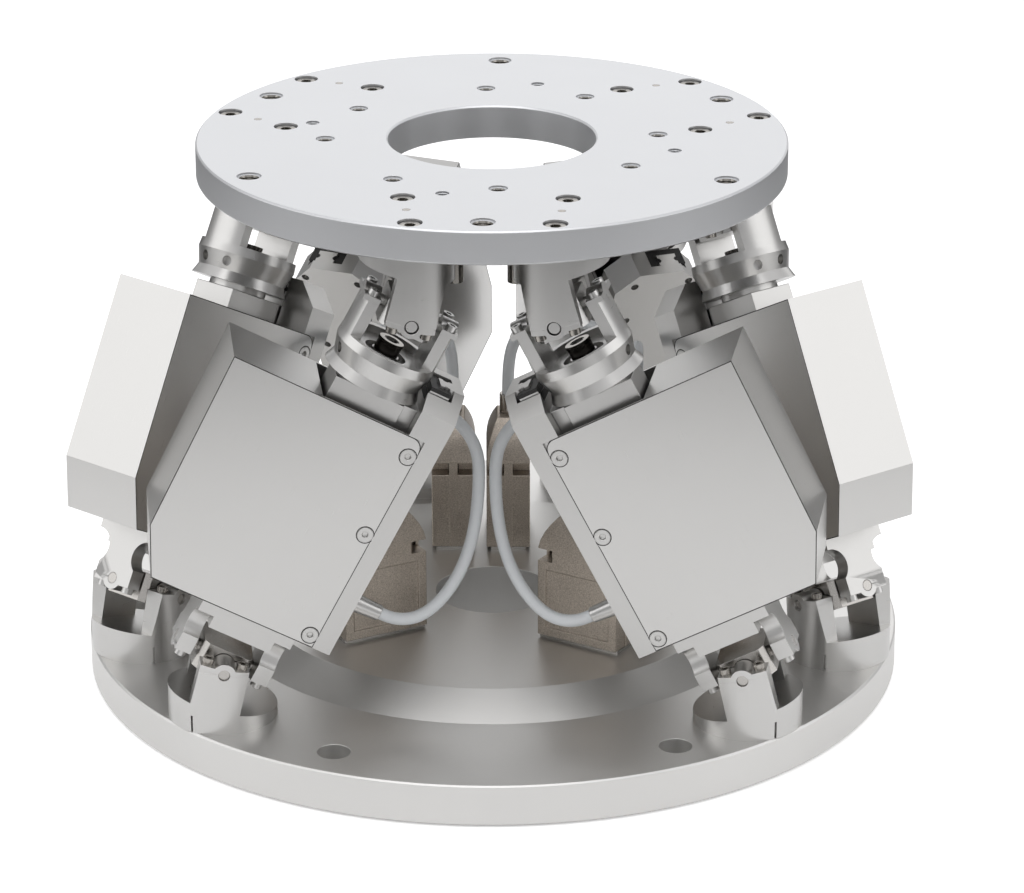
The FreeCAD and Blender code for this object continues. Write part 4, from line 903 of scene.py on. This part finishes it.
@dataclass
class ConnectorHoods:
    """Die-cast hoods with their jackscrews, one per strut, on the raised middle of the base."""

    disc: float = 21.7
    stand: float = 1.2
    width: float = 31.0
    thickness: float = 15.6
    body: float = 27.6
    window_tall: float = 4.4
    window: float = 5.6
    rib: float = 1.0
    seam_width: float = 3.0
    dome: float = 14.4
    middle: tuple[float, float] = (25.0, 13.4)
    top: tuple[float, float] = (12.0, 8.0)
    panel_rim: float = 3.2
    panel_sink: float = 0.7
    screw_side: float = 12.5
    screw_radius: float = 1.7
    screw_tall: float = 3.8
    knurl: float = 0.2
    places: dict[int, tuple[float, float, float]] = field(
        default_factory=lambda: {
            1: (-39.0, -34.5, 210.0),
            2: (33.8, -41.2, 330.0),
            3: (50.0, -4.0, 352.0),
            4: (3.8, 51.0, 92.0),
            5: (-15.8, 51.0, 92.0),
            6: (-50.0, -4.0, 188.0),
        }
    )

    def dome_size(self, share: float) -> tuple[float, float]:
        """How wide and how thick the dome is, on a smooth curve through its three known sizes.

        Args:
            share: The height above the shoulders, as a share of the dome's.

        Returns:
            The width and the thickness in millimetres.
        """
        sizes = []
        for foot, middle, top in zip((self.width, self.thickness), self.middle, self.top):
            bend = 2 * (foot + top - 2 * middle)
            slope = top - foot - bend
            sizes.append(foot + slope * share + bend * share**2)
        return sizes[0], sizes[1]

    def shell(self) -> bpy.types.Object:
        """Model one hood from a block: windows over the jackscrews, dome and sunk panels.

        Returns:
            The hood, standing on its socket with its width along X.
        """
        bpy.ops.object.select_all(action="DESELECT")
        low = (self.disc + self.stand) * MM
        size = (self.width * MM, self.thickness * MM, self.body * MM)
        bpy.ops.mesh.primitive_cube_add(size=1, location=(0, 0, low + size[2] / 2), scale=size)
        hood = bpy.context.object
        hood.name = "connector_hood"
        bpy.ops.object.transform_apply(location=True, rotation=False, scale=True)
        high = low + size[2]
        core = self.width - 2 * self.window
        levels = [
            (0.0, core, self.thickness),
            (self.window_tall, core, self.thickness),
            (0.0, self.width, self.thickness),
        ]
        rings = 5
        for ring in range(1, rings + 1):
            levels.append((self.dome / rings, *self.dome_size(ring / rings)))
        select_faces(hood, lambda centre, normal: normal.z > 0.9 and centre.z > high - 1e-6)
        wide, deep = self.width, self.thickness
        for lift, next_wide, next_deep in levels:
            bpy.ops.mesh.extrude_region_move(TRANSFORM_OT_translate={"value": (0, 0, lift * MM)})
            bpy.ops.transform.resize(value=(next_wide / wide, next_deep / deep, 1))
            wide, deep = next_wide, next_deep
        leave_edit()
        for side in (-1, 1):
            found = select_faces(
                hood,
                lambda centre, normal: side * normal.y > 0.9 and low < centre.z < high,
            )
            if found:
                bpy.ops.mesh.inset(thickness=self.panel_rim * MM)
                sink = (0, -side * self.panel_sink * MM, 0)
                bpy.ops.mesh.extrude_region_move(TRANSFORM_OT_translate={"value": sink})
            leave_edit()
        soften(hood, 0.7 * MM, segments=3, angle=24)
        return hood

    def seam(self, side: int) -> bpy.types.Object:
        """Model the rib where a hood's two halves meet, which also closes a window outside.

        Args:
            side: -1 or 1 along the hood's width.

        Returns:
            The rib, standing in the hood's frame.
        """
        bpy.ops.object.select_all(action="DESELECT")
        low = (self.disc + self.stand) * MM
        tall = (self.body + self.window_tall + 1.0) * MM
        proud = 0.25
        outer = self.width / 2 + proud
        inner = self.width / 2 - self.rib
        bpy.ops.mesh.primitive_cube_add(
            size=1,
            location=(side * (outer + inner) / 2 * MM, 0, low + tall / 2),
            scale=((outer - inner) * MM, self.seam_width * MM, tall),
        )
        rib = bpy.context.object
        rib.name = "hood_rib"
        bpy.ops.object.transform_apply(location=True, rotation=False, scale=True)
        soften(rib, 0.2 * MM)
        return rib

    def jackscrew(self, side: int) -> bpy.types.Object:
        """Model one knurled jackscrew in its window.

        Args:
            side: -1 or 1 along the hood's width.

        Returns:
            The jackscrew.
        """
        bpy.ops.object.select_all(action="DESELECT")
        base = (self.disc + self.stand + self.body) * MM
        at = side * self.screw_side * MM
        tall = self.screw_tall * MM
        teeth = 20
        bpy.ops.mesh.primitive_cylinder_add(
            vertices=2 * teeth, radius=self.screw_radius * MM, depth=tall, location=(at, 0, base + tall / 2)
        )
        head = bpy.context.object
        head.name = "jackscrew"
        bpy.ops.object.transform_apply(location=True, rotation=False, scale=False)

        def is_tooth(centre: Vector, normal: Vector) -> bool:
            """Whether a face is every other one round the head."""
            turn = (math.atan2(centre.y, centre.x - at) + math.pi) / math.tau
            return abs(normal.z) < 0.1 and int(turn * 2 * teeth) % 2 == 0

        select_faces(head, is_tooth)
        bpy.ops.mesh.extrude_region_shrink_fatten(TRANSFORM_OT_shrink_fatten={"value": self.knurl * MM})
        leave_edit()
        select_only(head)
        bpy.ops.object.shade_smooth_by_angle(angle=math.radians(30))
        return head

    def dress(
        self,
        strut: int,
        casting: bpy.types.Material,
        screws: bpy.types.Material,
        masters: dict[str, bpy.types.Object],
    ) -> bpy.types.Object:
        """Stand one connector in its place.

        Args:
            strut: The strut whose connector it is.
            casting: The hood's material.
            screws: The jackscrews' material.
            masters: The modelled hood, ribs and jackscrews.

        Returns:
            The hood, with its ribs and jackscrews in it.
        """
        x, y, bearing = self.places[strut]
        placed = Matrix.Translation(Vector((x, y, 0)) * MM) @ Matrix.Rotation(math.radians(bearing), 4, "Z")
        pieces = []
        for name, master in masters.items():
            copy = twin(master, f"{name}_{strut}")
            show_with(copy, screws if name.startswith("jack") else casting)
            pieces.append(bake_place(copy, placed))
        whole = joined(pieces, f"connector_hood_{strut}")
        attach(whole, "base")
        return whole


@dataclass
class StrutDetails:
    """Guide seals and centre bolts, which the frame holds only as plain solids."""

    length: float = 133.83
    seal_inner: float = 17.6
    seal_outer: float = 25.0
    seal_half: float = 6.5
    seal_top: float = 17.7
    seal_tall: float = 5.6
    bolt_seat: float = 15.4
    bolt_radius: float = 4.26
    bolt_tall: float = 4.65
    bolt_flange: float = 1.1
    bolt_edge: float = 0.12
    flange_proud: float = 0.16
    bolt_key: float = 2.5

    def seal(self) -> bpy.types.Object:
        """Model the black ribbed end seal of a guide carriage, in the strut's frame.

        Returns:
            The seal.
        """
        bpy.ops.object.select_all(action="DESELECT")
        top = (self.length - self.seal_top) * MM
        wide = (self.seal_outer - self.seal_inner) * MM
        centre = (self.seal_outer + self.seal_inner) / 2 * MM
        layers = 4
        tall = self.seal_tall * MM / layers
        leaves = []
        for layer in range(layers):
            trim = 0.35 * MM * (layer % 2)
            bpy.ops.mesh.primitive_cube_add(
                size=1,
                location=(centre, 0, top - tall * (layer + 0.5)),
                scale=(wide - trim, 2 * self.seal_half * MM - 2 * trim, tall),
            )
            leaf = bpy.context.object
            bpy.ops.object.transform_apply(location=True, rotation=False, scale=True)
            soften(leaf, 0.15 * MM)
            leaves.append(leaf)
        return joined(leaves, "guide_seal")

    def round_bar(self, name: str, radius: float, low: float, high: float) -> bpy.types.Object:
        """Model a plain cylinder on the strut's axis.

        Args:
            name: The piece's name.
            radius: Its radius in millimetres.
            low: Its lower end above the lower joint.
            high: Its upper end.

        Returns:
            The cylinder.
        """
        bpy.ops.object.select_all(action="DESELECT")
        bpy.ops.mesh.primitive_cylinder_add(
            vertices=64, radius=radius * MM, depth=(high - low) * MM, location=(0, 0, (low + high) / 2 * MM)
        )
        bar = bpy.context.object
        bar.name = name
        bpy.ops.object.transform_apply(location=True, rotation=False, scale=False)
        return bar

    def hollow(self, bar: bpy.types.Object, wall: float, depth: float) -> None:
        """Sink a round recess into the top of a cylinder.

        Args:
            bar: The cylinder.
            wall: The rim that stays, in millimetres.
            depth: The recess's depth.
        """
        select_faces(bar, lambda centre, normal: normal.z > 0.9)
        bpy.ops.mesh.inset(thickness=wall * MM)
        bpy.ops.mesh.extrude_region_move(TRANSFORM_OT_translate={"value": (0, 0, -depth * MM)})
        leave_edit()

    def bolt(self, side: bpy.types.Material, top: bpy.types.Material) -> bpy.types.Object:
        """Model the socket head bolt in a yoke's cup, just outside the plain head that the frame holds.

        Args:
            side: The dark material of its side.
            top: The bright material of its upward faces.

        Returns:
            The bolt's head, in the strut's frame.
        """
        seat = self.length - self.bolt_seat
        high = seat + self.bolt_tall
        collar = self.round_bar("centre_bolt", self.bolt_radius, seat, high - self.bolt_flange)
        rim = self.bolt_radius + self.flange_proud
        flange = self.round_bar("bolt_flange", rim, high - self.bolt_flange, high)
        self.hollow(flange, rim - self.bolt_key, self.bolt_flange)
        for part in (collar, flange):
            soften(part, self.bolt_edge * MM)
        head = joined([collar, flange], "centre_bolt")
        show_with(head, side, top)
        limit = (high - self.bolt_flange / 2) * MM
        # Upward faces at the top take the bright material, all others the dark one
        for face in head.data.polygons:
            face.material_index = 1 if face.center.z > limit and face.normal.z > 0.5 else 0
        return head


@dataclass
class Studio:
    """White studio: plain floor, soft lamps, and the camera where the photographer stood."""

    place: tuple[float, float, float] = (44.76, -1358.96, 615.98)
    yaw: float = -0.02801
    pitch: float = 0.37815
    roll: float = 0.00105
    focal: float = 148.04
    floor_colour: str = "#F4F4F4"
    # Painted shade and painted glow of the floor as the metal mirrors it: a darker grey far out, a glow near
    # the object
    floor_far_painted_shade: str = "#585858"
    floor_glow: float = 0.35
    mirrored_painted_glow: float = 0.1
    lit_inner: float = 0.38
    lit_outer: float = 0.62
    room_light: float = 0.9

    def camera(self) -> None:
        """Put the camera at the photograph's place, direction and focal length."""
        data = bpy.data.cameras.new("photo_camera")
        data.lens = self.focal
        data.sensor_width = 36.0
        data.clip_start = 0.05
        camera = bpy.data.objects.new("photo_camera", data)
        bpy.context.scene.collection.objects.link(camera)
        ahead = Vector(
            (
                math.sin(self.yaw) * math.cos(self.pitch),
                math.cos(self.yaw) * math.cos(self.pitch),
                -math.sin(self.pitch),
            )
        )
        right = Vector((math.cos(self.yaw), -math.sin(self.yaw), 0))
        turn = Matrix.Rotation(self.roll, 3, ahead)
        right = turn @ right
        over = right.cross(ahead)
        basis = Matrix((right, over, -ahead)).transposed().to_4x4()
        basis.translation = Vector(self.place) * MM
        camera.matrix_world = basis
        bpy.context.scene.camera = camera

    def lamp(
        self, name: str, place: tuple[float, float, float], size: tuple[float, float], power: float
    ) -> None:
        """Hang one softbox that faces the object's middle.

        Args:
            name: The lamp's name.
            place: Where it hangs, in metres.
            size: Its width and height, in metres.
            power: Its power in watts.
        """
        data = bpy.data.lights.new(name, "AREA")
        data.shape = "RECTANGLE"
        data.size, data.size_y = size
        data.energy = power
        lamp = bpy.data.objects.new(name, data)
        bpy.context.scene.collection.objects.link(lamp)
        lamp.location = place
        lamp.rotation_euler = (Vector((0, 0, 0.1)) - Vector(place)).to_track_quat("-Z", "Y").to_euler()

    def floor(self) -> None:
        """Lay the plain paper floor: white to the camera, with the object's soft shadow on it.

        Mirrored in the metal, the paper has a painted glow near the object and a painted darker shade further
        out, which stand in for a sweep that is lit only in its middle.
        """
        bpy.ops.object.select_all(action="DESELECT")
        bpy.ops.mesh.primitive_plane_add(size=12, location=(0, 0, -0.0005))
        floor = bpy.context.object
        floor.name = "studio_floor"
        material, tree = start_material("matt_white_paper")
        place = add_node(tree, "ShaderNodeTexCoord")
        reach = add_node(tree, "ShaderNodeVectorMath", {0: place.outputs["Object"]}, operation="LENGTH")
        far = add_node(
            tree,
            "ShaderNodeMapRange",
            {"Value": reach.outputs["Value"], "From Min": self.lit_inner, "From Max": self.lit_outer},
            interpolation_type="SMOOTHSTEP",
        )
        paper = add_node(tree, "ShaderNodeBsdfDiffuse", {"Color": linear(self.floor_colour)})
        glow = add_node(tree, "ShaderNodeEmission", {"Color": WHITE, "Strength": self.floor_glow})
        bright = add_node(
            tree, "ShaderNodeAddShader", {0: paper.outputs["BSDF"], 1: glow.outputs["Emission"]}
        )
        # Painted glow: in the metal's mirror the near paper glows, though it is no lamp
        sheen = add_node(tree, "ShaderNodeEmission", {"Color": WHITE, "Strength": self.mirrored_painted_glow})
        near = add_node(
            tree, "ShaderNodeAddShader", {0: paper.outputs["BSDF"], 1: sheen.outputs["Emission"]}
        )
        # Painted shade: in the metal's mirror the far paper is a darker grey
        dim = add_node(tree, "ShaderNodeBsdfDiffuse", {"Color": linear(self.floor_far_painted_shade)})
        mirrored = add_node(
            tree,
            "ShaderNodeMixShader",
            {0: far.outputs["Result"], 1: near.outputs["Shader"], 2: dim.outputs["BSDF"]},
        )
        path = add_node(tree, "ShaderNodeLightPath")
        seen = add_node(
            tree,
            "ShaderNodeMixShader",
            {0: path.outputs["Is Glossy Ray"], 1: paper.outputs["BSDF"], 2: mirrored.outputs["Shader"]},
        )
        mixed = add_node(
            tree,
            "ShaderNodeMixShader",
            {0: path.outputs["Is Camera Ray"], 1: seen.outputs["Shader"], 2: bright.outputs["Shader"]},
        )
        add_node(tree, "ShaderNodeOutputMaterial", {"Surface": mixed.outputs["Shader"]})
        show_with(floor, material)

    def world(self) -> None:
        """Surround the object with soft studio light, brighter above than at the sides."""
        world = bpy.data.worlds.new("studio_room")
        bpy.context.scene.world = world
        world.use_nodes = True
        tree = world.node_tree
        tree.nodes.clear()
        where = add_node(tree, "ShaderNodeTexCoord")
        parts = add_node(tree, "ShaderNodeSeparateXYZ", {"Vector": where.outputs["Generated"]})
        ramp = add_node(tree, "ShaderNodeValToRGB", {"Fac": parts.outputs["Z"]})
        stops = ramp.color_ramp.elements
        stops[0].position, stops[0].color = 0.0, (0.34, 0.34, 0.34, 1)
        stops[1].position, stops[1].color = 0.75, (0.92, 0.92, 0.93, 1)
        middle = stops.new(0.25)
        middle.color = (0.46, 0.46, 0.465, 1)
        room = add_node(
            tree, "ShaderNodeBackground", {"Color": ramp.outputs["Color"], "Strength": self.room_light}
        )
        white = add_node(tree, "ShaderNodeBackground", {"Color": WHITE, "Strength": 1.0})
        path = add_node(tree, "ShaderNodeLightPath")
        mixed = add_node(
            tree,
            "ShaderNodeMixShader",
            {
                0: path.outputs["Is Camera Ray"],
                1: room.outputs["Background"],
                2: white.outputs["Background"],
            },
        )
        add_node(tree, "ShaderNodeOutputWorld", {"Surface": mixed.outputs["Shader"]})

    def build(self) -> None:
        """Set up the whole studio."""
        self.camera()
        self.floor()
        self.world()
        self.lamp("softbox_above", (-0.1, -0.5, 1.5), (1.3, 1.0), 5.0)
        self.lamp("softbox_left", (-1.5, -0.3, 0.6), (1.6, 1.2), 5.5)
        self.lamp("softbox_right", (1.5, -0.3, 0.6), (1.6, 1.2), 5.5)
        self.lamp("softbox_behind", (0.1, 1.6, 0.75), (2.6, 1.2), 7.0)
        self.lamp("softbox_front", (0.05, -1.7, 0.4), (1.8, 0.7), 1.5)
        bpy.context.scene.view_settings.view_transform = "Standard"


@dataclass
class HexapodStage:
    """The dressed stage: plates, forks, struts, rods, connectors and cables."""

    frame: dict[str, Any]

    def plates(self) -> None:
        """Dress both plates, their forks, caps and screws."""
        nodes = MachinedNodes(self.frame)
        turned = TURNED_STEEL.build(suffix="_upright")
        ground = GROUND_STEEL.build(suffix="_caps")
        screws = SCREW_STEEL.build(suffix="_plates")
        nodes.show("base_plate", "base", BASE_ALUMINIUM.build(), edge=0.15 * MM)
        nodes.show("top_plate", "platform", PLATFORM_ALUMINIUM.build(), edge=0.12 * MM)
        nodes.show("base_forks", "base", turned)
        nodes.show("platform_forks", "platform", turned)
        nodes.show("base_fork_caps", "base", turned)
        nodes.show("platform_fork_caps", "platform", turned)
        nodes.show("base_screws", "base", screws, edge=0.1 * MM)
        nodes.show("platform_screws", "platform", screws, edge=0.1 * MM)
        nodes.show("cable_ferrules", "base", screws)
        nodes.paint("connector_sockets", ground)
        log.info("plates: %d nodes", nodes.made)
        threads = ThreadedHoles()
        cut = SCREW_STEEL.build(suffix="_threads")
        threads.place("large_threads", 90.4 * MM, [30 + 60 * k for k in range(6)], 3.4 * MM, 1.25 * MM, cut)
        small = [3.9 + 90 * k for k in range(4)] + [56.6 + 90 * k for k in range(4)]
        threads.place("small_threads", 56.2 * MM, small, 2.5 * MM, 1.0 * MM, cut)

    def struts(self) -> None:
        """Dress the six struts and rods."""
        nodes = MachinedNodes(self.frame)
        details = StrutDetails()
        screws = SCREW_STEEL.build(suffix="_struts")
        seal = details.seal()
        show_with(seal, BLACK_SEAL.build())
        bolt = details.bolt(DARK_BOLT_SIDE.build(), screws)
        # The covers' joints are painted shade: a dark border drawn on each panel
        gap = JOINT_GAP_PAINTED_SHADE.build()
        ground = GROUND_STEEL.build(suffix="_cross")
        drive = DRIVE_STEEL.build()
        for number in STRUT_NUMBERS:
            strut_frame = StrutFrame.read(number, self.frame["joints"])
            placed = strut_frame.matrix()
            suffix = f"_{number}"
            sheet = BRUSHED_SHEET.build(placed, suffix)
            milled = MILLED_STEEL.build(placed, suffix)
            turned = TURNED_STEEL.build(placed, suffix)
            strut, rod = f"strut_{number}", f"rod_{number}"
            facing = placed.col[1].to_3d()
            nodes.show(f"{strut}_cover", strut, sheet, gap, edge=nodes.panel_edge, facing=facing)
            nodes.show(f"{strut}_frame", strut, milled)
            nodes.show(f"{strut}_fork", strut, milled, screws)
            nodes.show(f"{strut}_cross", strut, ground)
            nodes.show(f"{strut}_fittings", strut, turned, screws)
            # The drive's dark steel is painted shade behind the covers
            nodes.paint(f"{strut}_drive", drive)
            nodes.show(f"{rod}_joint", rod, turned, screws)
            nodes.show(f"{rod}_block", rod, milled)
            for master, name in ((seal, "guide_seal"), (bolt, "centre_bolt")):
                piece = bake_place(twin(master, f"{name}_{number}"), strut_frame.hand())
                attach(piece, rod)
            log.info("strut %d dressed", number)
        for master in (seal, bolt):
            bpy.data.objects.remove(master)

    def connectors(self) -> None:
        """Stand the six connectors and lay the six cables."""
        hoods = ConnectorHoods()
        masters = {
            "hood": hoods.shell(),
            "rib_left": hoods.seam(-1),
            "rib_right": hoods.seam(1),
            "jack_left": hoods.jackscrew(-1),
            "jack_right": hoods.jackscrew(1),
        }
        casting = CastNickel().build()
        screws = SCREW_STEEL.build(suffix="_connectors")
        cables = SignalCables()
        jacket = CABLE_JACKET.build()
        for number in STRUT_NUMBERS:
            hood = hoods.dress(number, casting, screws, masters)
            if number == STRUT_NUMBERS[0]:
                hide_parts("connector_hoods")
            x, y, _ = hoods.places[number]
            strut = StrutFrame.read(number, self.frame["joints"])
            cable = cables.lay(strut, (x, y), jacket)
            if number == STRUT_NUMBERS[0]:
                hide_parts("signal_cables")
        for master in masters.values():
            bpy.data.objects.remove(master)
        log.info("connectors and cables: %d", len(STRUT_NUMBERS))

    def build(self) -> None:
        """Dress every part of the stage."""
        self.plates()
        self.struts()
        self.connectors()


def main() -> None:
    """Load the frame, dress it and set up the studio."""
    logging.basicConfig(level=logging.INFO, format="%(name)s: %(message)s")
    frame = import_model()
    HexapodStage(frame).build()
    Studio().build()
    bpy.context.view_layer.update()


if __name__ == "__main__":
    main()
